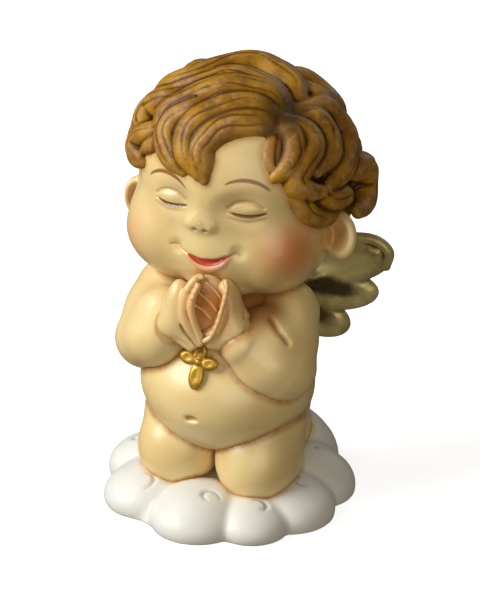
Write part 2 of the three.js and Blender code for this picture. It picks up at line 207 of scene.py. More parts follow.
def sampledOnGrid(source, target):
    lines = [target["low"][i] + target["grain"] * np.arange(target["field"].shape[i]) for i in range(3)]
    field = source["field"]
    for i, line in enumerate(lines):  # linear steps, one axis at a time
        place = (line - source["low"][i]) / source["grain"]
        size = field.shape[i]
        base = np.clip(np.floor(place).astype(int), 0, size - 2)
        share = np.clip(place - base, 0, 1).astype(np.float32)
        shape = [1, 1, 1]
        shape[i] = -1
        share = share.reshape(shape)
        field = np.take(field, base, axis=i) * (1 - share) + np.take(field, base + 1, axis=i) * share
    return field


def valueAt(clay, field, points):  # reads a field between its voxels
    place = (points - clay["low"]) / clay["grain"]
    size = np.array(field.shape)
    inside = np.all((place >= 0) & (place <= size - 1), axis=1)
    place = np.clip(place, 0, size - 1.001)
    base = np.floor(place).astype(int)
    share = (place - base).astype(np.float32)
    total = np.zeros(len(points), np.float32)
    for corner in range(8):
        step = np.array([corner & 1, corner >> 1 & 1, corner >> 2 & 1])
        weight = np.prod(np.where(step, share, 1 - share), axis=1)
        index = base + step
        total += weight * field[index[:, 0], index[:, 1], index[:, 2]]
    return np.where(inside, total, sculptSettings["reach"])


def blurred(field, radius):
    for axis in range(3):
        padding = [(0, 0)] * 3
        padding[axis] = (radius + 1, radius)
        sums = np.cumsum(np.pad(field, padding, mode="edge"), axis=axis, dtype=np.float64)
        length = sums.shape[axis]
        far = np.take(sums, np.arange(2 * radius + 1, length), axis=axis)
        near = np.take(sums, np.arange(0, length - 2 * radius - 1), axis=axis)
        field = ((far - near) / (2 * radius + 1)).astype(np.float32)
    return field


def knead(clay, spacing, depth):  # slow uneven swells, as thumbs leave in real clay
    counts = np.ceil(np.array(clay["field"].shape) * clay["grain"] / spacing).astype(int) + 3
    lumps = {"low": clay["low"] - spacing, "grain": spacing, "field": dice.uniform(-1, 1, counts).astype(np.float32)}
    swell = sampledOnGrid(lumps, clay)
    clay["field"] = clay["field"] + depth * blurred(swell, max(1, round(spacing * 0.3 / clay["grain"])))


def surfaceY(clay, x, z):  # where the front of the clay stands at x and z
    column = np.array([[x, y, z] for y in np.arange(clay["low"][1], clay["low"][1] + 45, 0.1)])
    inside = np.nonzero(valueAt(clay, clay["field"], column) < 0)[0]
    return column[inside[0]][1] if len(inside) else None


def onFront(clay, route, proud=0.0):  # [x, z, radius] points laid on the front of the clay
    return [[x, surfaceY(clay, x, z) - proud, z, radius] for x, z, radius in route]


# from clay to mesh

clays = {}
places = {}  # pieces sculpted in their own frame, and where that frame goes


def gapTo(name, world):
    points = world
    if name in places:
        back = places[name].inverted()
        points = world @ np.array(back.to_3x3()).T + np.array(back.translation)
    return valueAt(clays[name], clays[name]["field"], points)


def meshFrom(name, neighbours=()):
    clay, place = clays[name], places.get(name)
    band = sculptSettings["reach"]
    field = np.clip(clay["field"], -band, band)
    grid = openvdb.FloatGrid()
    grid.background = band
    grid.copyFromArray(field)
    points, quads = grid.convertToQuads(0.0)
    spots = points.astype(np.float64) * clay["grain"] + clay["low"]
    a, b, c, d = (spots[quads[:, i]] for i in range(4))
    if np.einsum("ij,ij->i", a, np.cross(b, c) + np.cross(c, d)).sum() < 0:
        quads = quads[:, ::-1]
    mesh = bpy.data.meshes.new(name)
    mesh.vertices.add(len(spots))
    mesh.loops.add(quads.size)
    mesh.polygons.add(len(quads))
    world = spots if place is None else spots @ np.array(place.to_3x3()).T + np.array(place.translation)
    mesh.vertices.foreach_set("co", (world * toMetres).astype(np.float32).ravel())
    mesh.loops.foreach_set("vertex_index", quads.astype(np.int32).ravel())
    mesh.polygons.foreach_set("loop_start", np.arange(0, quads.size, 4, dtype=np.int32))
    mesh.update(calc_edges=True)
    mesh.shade_smooth()

    fineRadius = max(1, round(0.45 / clay["grain"]))
    broadRadius = max(2, round(1.3 / clay["grain"]))
    fine = valueAt(clay, blurred(field, fineRadius) - field, spots) / (fineRadius * clay["grain"])
    broad = valueAt(clay, blurred(field, broadRadius) - field, spots) / (broadRadius * clay["grain"])
    near = np.full(len(spots), sculptSettings["reach"])
    for other in neighbours:
        near = np.minimum(near, gapTo(other, world))
    for key, values in (("fineCurve", fine), ("broadCurve", broad), ("near", near)):
        mesh.attributes.new(key, "FLOAT", "POINT").data.foreach_set("value", values.astype(np.float32))
    local = mesh.attributes.new("local", "FLOAT_VECTOR", "POINT")
    local.data.foreach_set("vector", spots.astype(np.float32).ravel())
    piece = bpy.data.objects.new(name, mesh)
    bpy.context.scene.collection.objects.link(piece)
    print(name, len(spots), "points")
    return piece


def spotsOf(piece):
    values = np.zeros(len(piece.data.vertices) * 3, np.float32)
    piece.data.attributes["local"].data.foreach_get("vector", values)
    return values.reshape(-1, 3).astype(float)


def finish(piece, material, node):
    piece.data.materials.append(material)
    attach(piece, "root")
    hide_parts(node)


# materials

def newMaterial(name):
    material = bpy.data.materials.new(name)
    material.use_nodes = True
    tree = material.node_tree
    tree.nodes.clear()
    out = tree.nodes.new("ShaderNodeOutputMaterial")
    shader = tree.nodes.new("ShaderNodeBsdfPrincipled")
    tree.links.new(shader.outputs[0], out.inputs[0])
    return material, tree, shader


def link(tree, source, target):
    if isinstance(source, (int, float)):
        target.default_value = source
    elif isinstance(source, (tuple, list)):
        target.default_value = (*source, 1.0) if len(source) == 3 and len(target.default_value) == 4 else source
    else:
        tree.links.new(source, target)


def maths(tree, kind, a, b=0.0, c=0.0, clamp=False):
    node = tree.nodes.new("ShaderNodeMath")
    node.operation = kind
    node.use_clamp = clamp
    for value, target in zip((a, b, c), node.inputs):
        link(tree, value, target)
    return node.outputs[0]


def times(tree, a, b):
    return maths(tree, "MULTIPLY", a, b)


def minus(tree, a, b):
    return maths(tree, "SUBTRACT", a, b)


def larger(tree, a, b):
    return maths(tree, "MAXIMUM", a, b)


def diagonal(tree, a, b):
    return maths(tree, "SQRT", maths(tree, "ADD", times(tree, a, a), times(tree, b, b)))


def ramp(tree, value, start, end, low=0.0, high=1.0):  # value from start to end, as low to high
    node = tree.nodes.new("ShaderNodeMapRange")
    node.interpolation_type = "SMOOTHSTEP"
    settings = {"Value": value, "From Min": start, "From Max": end, "To Min": low, "To Max": high}
    for name, setting in settings.items():
        link(tree, setting, node.inputs[name])
    return node.outputs["Result"]


def blend(tree, share, under, over, kind="MIX"):
    node = tree.nodes.new("ShaderNodeMix")
    node.data_type = "RGBA"
    node.blend_type = kind
    link(tree, share, node.inputs["Factor"])
    link(tree, under, node.inputs[6])
    link(tree, over, node.inputs[7])
    return node.outputs[2]


def tint(tree, colour, mask, strength, paint):  # brushes paint over colour where the mask is
    return blend(tree, times(tree, mask, strength), colour, paint)


def reading(tree, name, output="Fac"):
    node = tree.nodes.new("ShaderNodeAttribute")
    node.attribute_name = name
    return node.outputs[output]


def gauge(tree, name, start, end):  # 0 to 1 as a measure stored on the mesh goes from start to end
    return ramp(tree, reading(tree, name), start, end)


def sculptPlace(tree):  # where a point was sculpted, in millimetres
    return reading(tree, "local", "Vector")


def sculptAxes(tree):
    split = tree.nodes.new("ShaderNodeSeparateXYZ")
    tree.links.new(sculptPlace(tree), split.inputs[0])
    return split.outputs


def nearSpot(tree, middle, outer, inner):  # 1 within the inner distance of a spot, 0 beyond the outer
    node = tree.nodes.new("ShaderNodeVectorMath")
    node.operation = "DISTANCE"
    tree.links.new(sculptPlace(tree), node.inputs[0])
    node.inputs[1].default_value = middle
    return ramp(tree, node.outputs["Value"], outer, inner)


def noise(tree, scale, detail=3.0, roughness=0.5, vector=None, distortion=0.0):
    node = tree.nodes.new("ShaderNodeTexNoise")
    link(tree, vector or sculptPlace(tree), node.inputs["Vector"])
    node.inputs["Scale"].default_value = scale
    node.inputs["Detail"].default_value = detail
    node.inputs["Roughness"].default_value = roughness
    node.inputs["Distortion"].default_value = distortion
    return node.outputs["Fac"]


def bump(tree, shader, height, strength, distance):
    node = tree.nodes.new("ShaderNodeBump")
    node.inputs["Strength"].default_value = strength
    node.inputs["Distance"].default_value = distance
    link(tree, height, node.inputs["Height"])
    tree.links.new(node.outputs[0], shader.inputs["Normal"])


def painted(tree, shader, colour, roughness, scale, less, more):  # colour, and a roughness that wavers a little
    tree.links.new(colour, shader.inputs["Base Color"])
    rough = ramp(tree, noise(tree, scale), 0.3, 0.7, roughness - less, roughness + more)
    tree.links.new(rough, shader.inputs["Roughness"])


skinPaint = {
    "cream": (0.80, 0.62, 0.30), "warm": (0.73, 0.49, 0.18), "wash": (0.40, 0.145, 0.014),
    "roughness": 0.36, "shine": 0.6, "varnish": 0.22, "varnishRoughness": 0.16,
}


def makeSkin(name, extras=None, nearReach=1.3, washed=0.82):
    material, tree, shader = newMaterial(name)
    tone = ramp(tree, noise(tree, 0.12), 0.35, 0.68)
    colour = tint(tree, skinPaint["cream"], tone, 0.45, skinPaint["warm"])
    mottle = ramp(tree, noise(tree, 0.9, 4, 0.6), 0.3, 0.75)
    crease = larger(tree, gauge(tree, "fineCurve", -0.02, -0.14), gauge(tree, "broadCurve", -0.03, -0.24))
    crease = larger(tree, crease, gauge(tree, "near", nearReach, 0.05))
    crease = times(tree, crease, ramp(tree, mottle, 0.0, 1.0, 0.65, 1.0))
    colour = tint(tree, colour, crease, washed, skinPaint["wash"])
    if extras:
        colour = extras(tree, colour)
    painted(tree, shader, colour, skinPaint["roughness"], 1.6, 0.05, 0.08)
    shader.inputs["Specular IOR Level"].default_value = skinPaint["shine"]
    shader.inputs["Coat Weight"].default_value = skinPaint["varnish"]
    shader.inputs["Coat Roughness"].default_value = skinPaint["varnishRoughness"]
    bump(tree, shader, noise(tree, 2.2, 4, 0.55), 0.12, 0.0002)
    return material


# head: a round doll's face with closed eyes and a wide smile

headPlan = {
    "turn": 1.5, "roll": 1.6,  # the face looks and leans a little to its own left
    "skull": (19.5, 18.4, 19.2),
    # forms as middle, radii and softness; the first three are made on both sides
    "temple": ((21.4, -10.5, 2.4), (4.4, 7.0, 6.6), 3.0),
    "jaw": ((7.4, -2.2, -10.9), (9.6, 11.6, 8.6), 5),
    "cheek": ((9.6, -8.4, -7.6), (8.9, 8.7, 8.0), 3.5),
    "brow": ((0, -5.4, 5.0), (15.6, 12.8, 13.0), 4),
    "muzzle": ((0.4, -10.4, -8.8), (7.4, 8.6, 7.0), 4),
    "chin": ((1.0, -11.6, -15.2), (5.2, 4.6, 3.6), 3.0),
    # each ear: its middle, its radii, and the side it is on
    "ears": (((-19.0, -3.0, -5.8), (3.0, 1.9, 4.2), -1), ((21.2, -3.9, -6.0), (4.6, 2.0, 4.6), 1)),
    # each eye: middle of its slit, and the slit's half width
    "eyes": ((-6.9, 0.5, 3.5), (7.7, 0.5, 3.4)),
    # lines round an eye: across as a share of the half width, up, and radius
    "slit": ((-1.0, 0.45, 0.08), (-0.5, 0.02, 0.15), (0, -0.12, 0.22), (0.5, -0.05, 0.2), (1.0, 0.42, 0.08)),
    "lowerLid": ((-0.9, -0.1, 0.15), (0, -0.72, 0.24), (0.9, -0.15, 0.15)),
    "lidFold": ((-0.9, 1.3, 0.04), (-0.4, 2.45, 0.08), (0.3, 2.6, 0.08), (0.9, 1.6, 0.04)),
    "nose": (-0.3, -1.5),
    "nostril": (1.0, -1.5),      # from the nose's middle
    "mouth": (1.25, -7.8, 5.0),  # middle of the line between the lips' ends, and its tilt in degrees
    # lines of the mouth: across, up and radius
    "opening": ((-3.4, -0.3, 0.3), (-1.8, -1.2, 0.62), (0, -1.5, 0.72), (1.8, -1.2, 0.62), (3.4, -0.3, 0.3)),
    "lowerLip": ((-4.0, -0.3, 0.16), (-2.4, -2.0, 0.42), (0, -2.8, 0.56), (2.4, -2.0, 0.42), (4.0, -0.3, 0.16)),
    "smile": ((-7.9, 0.95, 0.1), (-6.5, 1.15, 0.18), (-4.6, 0.2, 0.18), (-2.4, -0.6, 0.22), (0, -0.86, 0.26),
              (2.4, -0.6, 0.22), (4.4, 0.1, 0.18), (5.2, 0.3, 0.18), (5.8, -0.3, 0.1)),
    "corners": ((-6.6, 1.0), (5.8, 0.5)),
}
headMiddle = spot("head", 0.488, 0.514, 0.5)
headPlace = (Matrix.Translation(headMiddle) @ Matrix.Rotation(math.radians(headPlan["turn"]), 4, "Z")
             @ Matrix.Rotation(math.radians(headPlan["roll"]), 4, "Y"))


def sculptHead(grain):
    clay = newClay((-26, -24, -21), (26, 22, 21), grain)
    add(clay, ball((0, 0, 0), headPlan["skull"]))
    pressed(add, clay, headPlan["brow"])
    for side in (-1, 1):
        pressed(carve, clay, headPlan["temple"], side, (0, 0, -24 * side))
        pressed(add, clay, headPlan["jaw"], side)
        pressed(add, clay, headPlan["cheek"], side)
    pressed(add, clay, headPlan["muzzle"])
    pressed(add, clay, headPlan["chin"])
    return clay


def addEars(clay):
    for (x, y, z), (wide, deep, tall), side in headPlan["ears"]:
        turn = (-8, 6 * side, -34 * side)
        add(clay, ball((x, y, z), (wide, deep, tall), turn), 0.9)
        carve(clay, ball((x + 0.3 * side, y - deep, z + 0.5), (wide * 0.63, 1.3, tall * 0.67), turn), 0.7)
        add(clay, ball((x - wide * 0.58 * side, y - 1.0, z - 0.6), (1.2, 1.4, 2.0), turn), 1.0)  # flap by the cheek


def addNose(clay):
    noseX, noseZ = headPlan["nose"]
    across, up = headPlan["nostril"]
    add(clay, strand([[0, -15.0, 5.0, 1.4], [noseX, -15.7, 1.6, 1.4]]), 3.8)  # bridge
    front = surfaceY(clay, noseX, noseZ)
    add(clay, ball((noseX, front + 0.85, noseZ), (2.1, 1.8, 1.6)), 1.9)
    for side in (-1, 1):
        add(clay, ball((noseX + 1.8 * side, front + 0.75, noseZ - 0.6), (0.9, 1.1, 0.8)), 1.2)  # wing
        x, z = noseX + across * side, noseZ + up
        carve(clay, ball((x, surfaceY(clay, x, z) + 0.1, z), (0.34, 0.6, 0.32)), 0.25)


def eyeLine(clay, eye, line, proud=0.0):
    x, z, half = eye
    return strand(onFront(clay, [[x + out * half, z + up, radius] for out, up, radius in headPlan[line]], proud))


def addEyes(clay):
    for eye in headPlan["eyes"]:
        x, z, half = eye
        side = 1 if x > 0 else -1
        front = surfaceY(clay, x, z + 2)
        carve(clay, ball((x, front - 1.4, z + 1.2), (4.6, 1.9, 2.8), (0, 0, 12 * side)), 2.2)  # socket
        front = surfaceY(clay, x, z + 1.0)
        lid = ball((x, front + 1.05, z + 1.05), (half * 0.82, 1.65, 1.3), (0, 0, 16 * side))
        add(clay, lid, 1.3)
        carve(clay, eyeLine(clay, eye, "slit", 0.02), 0.15)
        add(clay, eyeLine(clay, eye, "lowerLid", -0.02), 0.4)
        carve(clay, eyeLine(clay, eye, "lidFold"), 0.7)


def fromMouth(across, up):
    x, z, tilt = headPlan["mouth"]
    tilt = math.radians(tilt)
    return x + across * math.cos(tilt) - up * math.sin(tilt), z + across * math.sin(tilt) + up * math.cos(tilt)


def mouthLine(clay, line, proud=0.0):
    return strand(onFront(clay, [[*fromMouth(across, up), radius] for across, up, radius in headPlan[line]], proud))


def addMouth(clay):
    for corner in headPlan["corners"]:
        x, z = fromMouth(*corner)
        carve(clay, ball((x, surfaceY(clay, x, z) - 0.55, z), (1.2, 0.8, 1.2)), 1.0)
    carve(clay, mouthLine(clay, "opening", 0.15), 0.3)
    add(clay, mouthLine(clay, "lowerLip", -0.1), 0.45)
    carve(clay, mouthLine(clay, "smile"), 0.2)
    x, z = fromMouth(0, -4.6)
    carve(clay, ball((x, surfaceY(clay, x, z) - 0.9, z), (2.6, 1.3, 0.8)), 1.0)  # dip above the chin


facePaint = {
    # of these, the eye socket colour and the under-lip colour are painted shade
    "blush": (0.60, 0.15, 0.025), "earHollow": (0.46, 0.19, 0.03), "eyeCornerShade": (0.45, 0.24, 0.09),
    "lash": (0.17, 0.08, 0.004), "brow": (0.27, 0.09, 0.006), "nostril": (0.25, 0.11, 0.03),
    "rim": (0.80, 0.36, 0.22), "mouth": (0.50, 0.045, 0.012), "underLipShade": (0.62, 0.30, 0.09),
    # each blushed cheek: middle, size and strength
    "cheeks": (((-15.0, -13.6, -7.6), 7.5, 0.34), ((14.6, -12.8, -6.6), 9.0, 0.9)),
    # each brow is a stroke along a circle: its middle, its radius, and where the stroke starts and ends
    "brows": (((-7.6, 0.9), 5.55, -11.9, -3.4), ((7.2, 1.5), 5.85, 4.0, 11.7)),
    # arcs of the smile: how far the circle's middle is above the mouth's, and its radius
    "upperArc": (9.84, 10.7), "lowerArc": (3.05, 5.2), "rimArc": (1.15, 4.4),
}


def faceColours(tree, colour):
    x, y, z = sculptAxes(tree)
    front = ramp(tree, y, -6.0, -9.0)
    noseX, noseZ = headPlan["nose"]

    def offCircle(middle, radius):
        return minus(tree, diagonal(tree, minus(tree, x, middle[0]), minus(tree, z, middle[1])), radius)

    def brushStroke(middle, radius, fromX, toX, width, half="GREATER_THAN"):  # along the top or foot of a circle
        off = maths(tree, "ABSOLUTE", offCircle(middle, radius))
        along = maths(tree, "DIVIDE", minus(tree, x, (fromX + toX) / 2), abs(toX - fromX) / 2)
        thinning = maths(tree, "SUBTRACT", 1.0, times(tree, along, along), clamp=True)
        edge = minus(tree, off, times(tree, maths(tree, "SQRT", thinning), width))
        mask = times(tree, ramp(tree, edge, 0.16, -0.16), maths(tree, half, minus(tree, z, middle[1]), 0.0))
        return times(tree, times(tree, mask, maths(tree, "GREATER_THAN", thinning, 0.001)), front)

    for middle, size, strength in facePaint["cheeks"]:
        colour = tint(tree, colour, nearSpot(tree, middle, size, 0.5), strength, facePaint["blush"])
    for (earX, earY, earZ), _, side in headPlan["ears"]:
        hollow = nearSpot(tree, (earX - 0.8 * side, earY - 1.4, earZ + 0.2), 3.9, 1.1)
        colour = tint(tree, colour, hollow, 0.75, facePaint["earHollow"])
    for eyeX, eyeZ, half in headPlan["eyes"]:
        side = 1 if eyeX > 0 else -1
        # painted shade at the inner corner of each eye, under the brow
        eyeCornerShade = nearSpot(tree, (eyeX - 2.2 * side, -18.0, eyeZ + 2.2), 3.4, 0.4)
        colour = tint(tree, colour, eyeCornerShade, 0.28, facePaint["eyeCornerShade"])
        ends = eyeX - half * 0.8, eyeX + half * 1.05
        lash = brushStroke((eyeX + 0.2, eyeZ + 8.4), 8.52, *ends, 0.42, half="LESS_THAN")
        colour = tint(tree, colour, lash, 0.95, facePaint["lash"])
    for middle, radius, fromX, toX in facePaint["brows"]:
        brow = brushStroke(middle, radius, fromX, toX, 0.36)
        colour = tint(tree, colour, brow, 0.95, facePaint["brow"])
    across, up = headPlan["nostril"]
    for side in (-1, 1):
        nostril = nearSpot(tree, (noseX + across * side, -19.8, noseZ + up), 1.05, 0.35)
        colour = tint(tree, colour, nostril, 0.85, facePaint["nostril"])
    # the open smile lies between a flat arc and a deeper one, with a pink rim under it
    upper, lower, edge = (offCircle(fromMouth(0, up), radius) for up, radius in
                          (facePaint["upperArc"], facePaint["lowerArc"], facePaint["rimArc"]))
    opened = times(tree, ramp(tree, upper, -0.12, 0.12), front)
    inMouth = times(tree, ramp(tree, lower, 0.12, -0.12), opened)
    rim = times(tree, ramp(tree, edge, 0.25, -0.15), opened)
    colour = tint(tree, colour, rim, 0.75, facePaint["rim"])
    colour = tint(tree, colour, inMouth, 0.96, facePaint["mouth"])
    # painted shade in the dip under the lower lip
    underX, underZ = fromMouth(0, -4.4)
    return tint(tree, colour, nearSpot(tree, (underX, -18.0, underZ), 2.8, 0.6), 0.45, facePaint["underLipShade"])


clays["head"] = sculptHead(sculptSettings["fineGrain"])
addEars(clays["head"])
addNose(clays["head"])
addEyes(clays["head"])
addMouth(clays["head"])
print("head sculpted")

# hair: heavy wavy locks combed away from a parting over the left eye

hairPlan = {
    "thickness": 0.9, "rise": 0.9, "proud": 3.7, "soft": 0.4, "wobble": 0.4,
    "tip": 0.42, "tuck": 0.9,  # how thin a lock ends beside its middle, and how far its end sinks in
    "parting": (49, 50),
    # the hairline: longitude round the head, and the lowest latitude the hair reaches there
    "line": ((-180, -27), (-140, -24), (-116, -12), (-100, 4), (-84, 12), (-70, 15), (-58, 21), (-46, 25), (-30, 31),
             (-14, 30), (0, 26), (17, 35), (32, 42), (46, 40), (52, 26), (58, 6), (68, -2), (88, -4), (100, -9),
             (116, -16), (140, -24), (180, -27)),
}


def onHair(longitude, latitude, out=0.0):  # longitude 0 is the face and 90 the left ear
    lon, lat = math.radians(longitude), math.radians(latitude)
    wide, deep, tall = (radius + hairPlan["thickness"] + out for radius in headPlan["skull"])
    return np.array([
        wide * math.cos(lat) * math.sin(lon),
        1 - deep * math.cos(lat) * math.cos(lon),
        hairPlan["rise"] + tall * math.sin(lat),
    ])


# each lock: its route as longitude and latitude, its thickness, and its tone from mauve brown (0) to ochre (1)
frontLocks = [
    {"route": [(150, 62), (168, 72), (-150, 78), (-104, 72), (-84, 58)], "size": 3.6, "tone": 0.5},
    {"route": [(84, 57), (104, 66), (160, 78), (-110, 80), (-66, 66), (-74, 50), (-84, 36)], "size": 3.4,
     "tone": 0.45},
    {"route": [(62, 54), (62, 66), (30, 78), (-30, 76), (-50, 61), (-62, 47), (-76, 34)], "size": 3.2, "tone": 0.75},
    {"route": [(54, 53), (52, 63), (14, 69), (-22, 62), (-36, 52), (-44, 42), (-40, 33)], "size": 3.1, "tone": 0.25},
    {"route": [(-6, 57), (-24, 52), (-34, 43), (-33, 32), (-24, 24), (-12, 18.5)], "size": 3.2, "tone": 0.9,
     "lift": 0.2},
    {"route": [(46, 51), (28, 58), (4, 55), (-12, 46), (-16, 35), (-12, 26), (-3, 18)], "size": 2.7, "tone": 0.2,
     "lift": 0.1},
    {"route": [(43, 45), (30, 47.5), (14, 46.5), (2, 41), (-4, 33), (-3, 25), (0.5, 16)], "size": 3.3, "tone": 0.55,
     "lift": 0.5, "tip": 0.3},
    {"route": [(-46, 52), (-58, 45), (-68, 36), (-62, 28), (-54, 26)], "size": 3.2, "tone": 0.9, "lift": 0.3},
    {"route": [(-66, 32), (-76, 24), (-70, 16), (-56, 13), (-44, 13)], "size": 2.9, "tone": 0.6},
    {"route": [(-38, 35), (-46, 29), (-57, 21), (-55, 16), (-46, 15)], "size": 2.3, "tone": 0.7},
    {"route": [(-34, 31), (-38, 25), (-45, 19)], "size": 1.8, "tone": 0.8, "combed": ()},
    {"route": [(44, 45), (51, 39), (50, 31), (44, 23), (36, 18.5)], "size": 2.3, "tone": 0.4},
    {"route": [(41, 43), (39, 35), (36, 27), (36, 19)], "size": 2.5, "tone": 1.0, "lift": -0.8},
    {"route": [(50, 46), (61, 40), (62, 31), (53, 23), (48, 16), (54, 10.5), (65, 8)], "size": 2.7, "tone": 0.6,
     "lift": 0.3},
    {"route": [(58, 48), (78, 43), (83, 34), (76, 25), (63, 18)], "size": 3.2, "tone": 0.55, "lift": 0.1},
    {"route": [(68, 51), (98, 44), (104, 29), (94, 20), (80, 13), (67, 9)], "size": 3.0, "tone": 0.4},
    {"route": [(76, 55), (108, 48), (118, 34), (112, 22)], "size": 3.2, "tone": 0.3, "lift": -0.6},
    {"route": [(98, 10), (107, 6), (110, -2), (103, -9), (89, -9)], "size": 3.4, "tone": 0.5, "lift": 2.3},
    {"route": [(50, 16), (51, 7), (57, -3), (68, -7), (80, -4)], "size": 2.4, "tone": 0.5, "lift": -0.3},
    {"route": [(60, 9), (70, 3), (82, 0), (92, -4)], "size": 2.7, "tone": 0.3, "lift": -0.4},
    {"route": [(-76, 50), (-92, 40), (-98, 26), (-86, 16)], "size": 3.3, "tone": 0.5},
    {"route": [(-92, 32), (-104, 20), (-102, 6), (-92, -2)], "size": 3.0, "tone": 0.35},
]


def backLocks():
    locks = []
    for row, (top, bottom, size) in enumerate(((66, 24, 3.1), (42, -4, 3.2), (14, -25, 2.9))):
        count = 8 + 2 * row
        for i in range(count):
            lon = 112 + (240 - 112) * (i + 0.5 * (row % 2)) / (count - 1)
            sway = 6 * (1 if i % 2 else -1)
            jog = dice.uniform(-3, 3, 4)
            share = [lon + jog[0] * 2, lon + sway + jog[1], lon - sway + jog[2], lon + sway * 0.5 + jog[3]]
            lats = np.linspace(top, bottom, 4) + dice.uniform(-3, 3)
            locks.append({"route": list(zip(share, lats)), "size": size * dice.uniform(0.88, 1.08),
                          "tone": dice.uniform(0.2, 0.8)})
    return locks


def hairCap(clay):  # how far each place is below the hairline
    x, y, z = window(clay, clay["low"], clay["low"] + np.array(clay["field"].shape) * clay["grain"])[2]
    wide, deep, tall = (radius + 2 for radius in headPlan["skull"])
    u, v, w = x / wide, (1 - y) / deep, (z - hairPlan["rise"]) / tall
    flat = np.hypot(u, v) + 0 * w
    longitude = np.degrees(np.arctan2(u, v))
    latitude = np.degrees(np.arctan2(w + 0 * flat, flat))
    line = np.array(hairPlan["line"], float)
    lowest = np.interp(longitude, line[:, 0], line[:, 1])
    return ((lowest - latitude) * math.radians(1) * tall).astype(np.float32)


def lockPoints(lock, proud):
    route, size = lock["route"], lock["size"]
    points = []
    for i, (lon, lat) in enumerate(route):
        share = i / (len(route) - 1)
        radius = size * (0.5 + 0.5 * math.sin(math.pi * min(1.0, 0.18 + share * 0.82)) ** 0.6)
        sink = 1.4 * max(0.0, 0.25 - share) / 0.25  # the root dives into the parting
        if i == len(route) - 1:
            radius, sink = size * lock.get("tip", hairPlan["tip"]), hairPlan["tuck"]
        points.append([*onHair(lon, lat, proud - hairPlan["thickness"] - sink - radius), radius])
    return points


def combedLine(path, shift):  # a line pressed along a lock, shifted to one side of its crest
    line = []
    for k in range(4, len(path) - 3):
        middle = path[k, :3] - np.array([0, 1, hairPlan["rise"]])
        out = middle / np.linalg.norm(middle)
        ahead = path[k + 1, :3] - path[k - 1, :3]
        across = np.cross(out, ahead)
        across /= max(np.linalg.norm(across), 1e-6)
        out = np.cross(ahead, across)
        out /= max(np.linalg.norm(out), 1e-6)
        wave = shift + 0.1 * math.sin(k * 0.35 + shift * 9)
        radius = path[k, 3]
        foot = path[k, :3] + across * radius * wave + out * radius * math.sqrt(1 - wave * wave)
        share = (k - 4) / max(len(path) - 8, 1)
        line.append([*foot, 0.06 + 0.16 * math.sin(math.pi * share)])
    return line


def sculptHair(grain):
    clay = newClay((-28, -22, -18), (28, 28, 27), grain)
    wide, deep, tall = (radius + hairPlan["thickness"] for radius in headPlan["skull"])
    add(clay, ball((0, 1, hairPlan["rise"]), (wide, deep, tall)))
    clay["field"] = -softMin(-clay["field"], -hairCap(clay), 0.8)
    owner = np.zeros(clay["field"].shape, np.float32) + 0.2  # the tone of the lock that each place belongs to
    for number, lock in enumerate(backLocks() + frontLocks):
        points = lockPoints(lock, hairPlan["proud"] + lock.get("lift", 0) + (0.3 if number % 2 else -0.3))
        area, local = measured(clay, strand(points, 6), 2.0)
        before = clay["field"][area]
        owner[area] = np.where(local < before + 0.1, lock["tone"], owner[area])
        clay["field"][area] = softMin(before, local, hairPlan["soft"])
        path = smoothPath(points, 8)
        for shift in lock.get("combed", (-0.25, 0.38) if lock["size"] > 3 else (0.15,)):
            line = combedLine(path, shift)
            if len(line) > 3:
                carve(clay, strand(line, 1), 0.35)
    knead(clay, 4.5, hairPlan["wobble"])
    clay["tone"] = owner
    return clay


clays["hair"] = sculptHair(sculptSettings["grain"])
print("hair sculpted")

# torso: a round belly hanging over the thighs, a soft chest and a seat

torsoPlan = {
    "bellyShare": (0.5, 0.465, 0.399), "chestShare": (0.5, 0.528, 0.704),  # middles, as shares of the torso's box
    "belly": (16.2, 15.2, 12.8), "chest": (13.4, 12.2, 12.0), "seat": 7.8,
    "breast": (5.0, 4.0, 4.6), "flank": (5.4, 8.0, 7.0), "navel": (-0.9, -1.6),
    # the last colour is painted shade under the head, mixed with brown wash
    "underChinWashAndShade": (0.26, 0.085, 0.012),
}
bellyMiddle = spot("torso", *torsoPlan["bellyShare"])
chestMiddle = spot("torso", *torsoPlan["chestShare"])


def sculptTorso(grain):
    low, high = boxOf("torso")
    clay = newClay(low - 2, high + 2, grain)
    belly, chest = bellyMiddle, chestMiddle
    add(clay, ball(belly, torsoPlan["belly"]))
    add(clay, ball(chest, torsoPlan["chest"]), 4.0)
    for side in (-1, 1):
        add(clay, ball(belly + (5.6 * side, 8.2, -6.8), torsoPlan["seat"]), 2.2)
        add(clay, ball(chest + (5.6 * side, -8.0, 1.5), torsoPlan["breast"]), 3.0)
        add(clay, ball(belly + (10.8 * side, 0.5, 1.5), torsoPlan["flank"]), 3.0)
        fold = [[15.0 * side, belly[1] + 3, belly[2] + 9.3, 0.5], [11 * side, belly[1] - 7.5, belly[2] + 10.0, 0.5]]
        carve(clay, strand(fold), 1.6)
    spine = [[0, chest[1] + 12.2, chest[2] + 6, 0.5], [0, chest[1] + 13.2, chest[2] - 2, 0.8],
             [0, belly[1] + 15.4, belly[2] + 2, 0.7]]
    carve(clay, strand(spine), 2.4)
    cleft = [[0, belly[1] + 16.2, belly[2] - 2, 0.4], [0, belly[1] + 18.4, belly[2] - 7, 0.9],
             [0, belly[1] + 17.0, belly[2] - 12, 1.0]]
    carve(clay, strand(cleft), 1.6)
    x, z = torsoPlan["navel"][0], belly[2] + torsoPlan["navel"][1]
    y = surfaceY(clay, x, z)
    carve(clay, ball((x, y, z), (1.2, 0.6, 0.65)), 0.7)
    carve(clay, strand([[x - 0.8, y + 0.3, z + 0.25, 0.2], [x + 0.6, y + 0.3, z - 0.05, 0.28]]), 0.2)
    add(clay, strand([[x - 0.4, y + 0.35, z - 0.8, 0.2], [x + 1.2, y + 0.35, z - 0.6, 0.25]]), 0.5)
    return clay


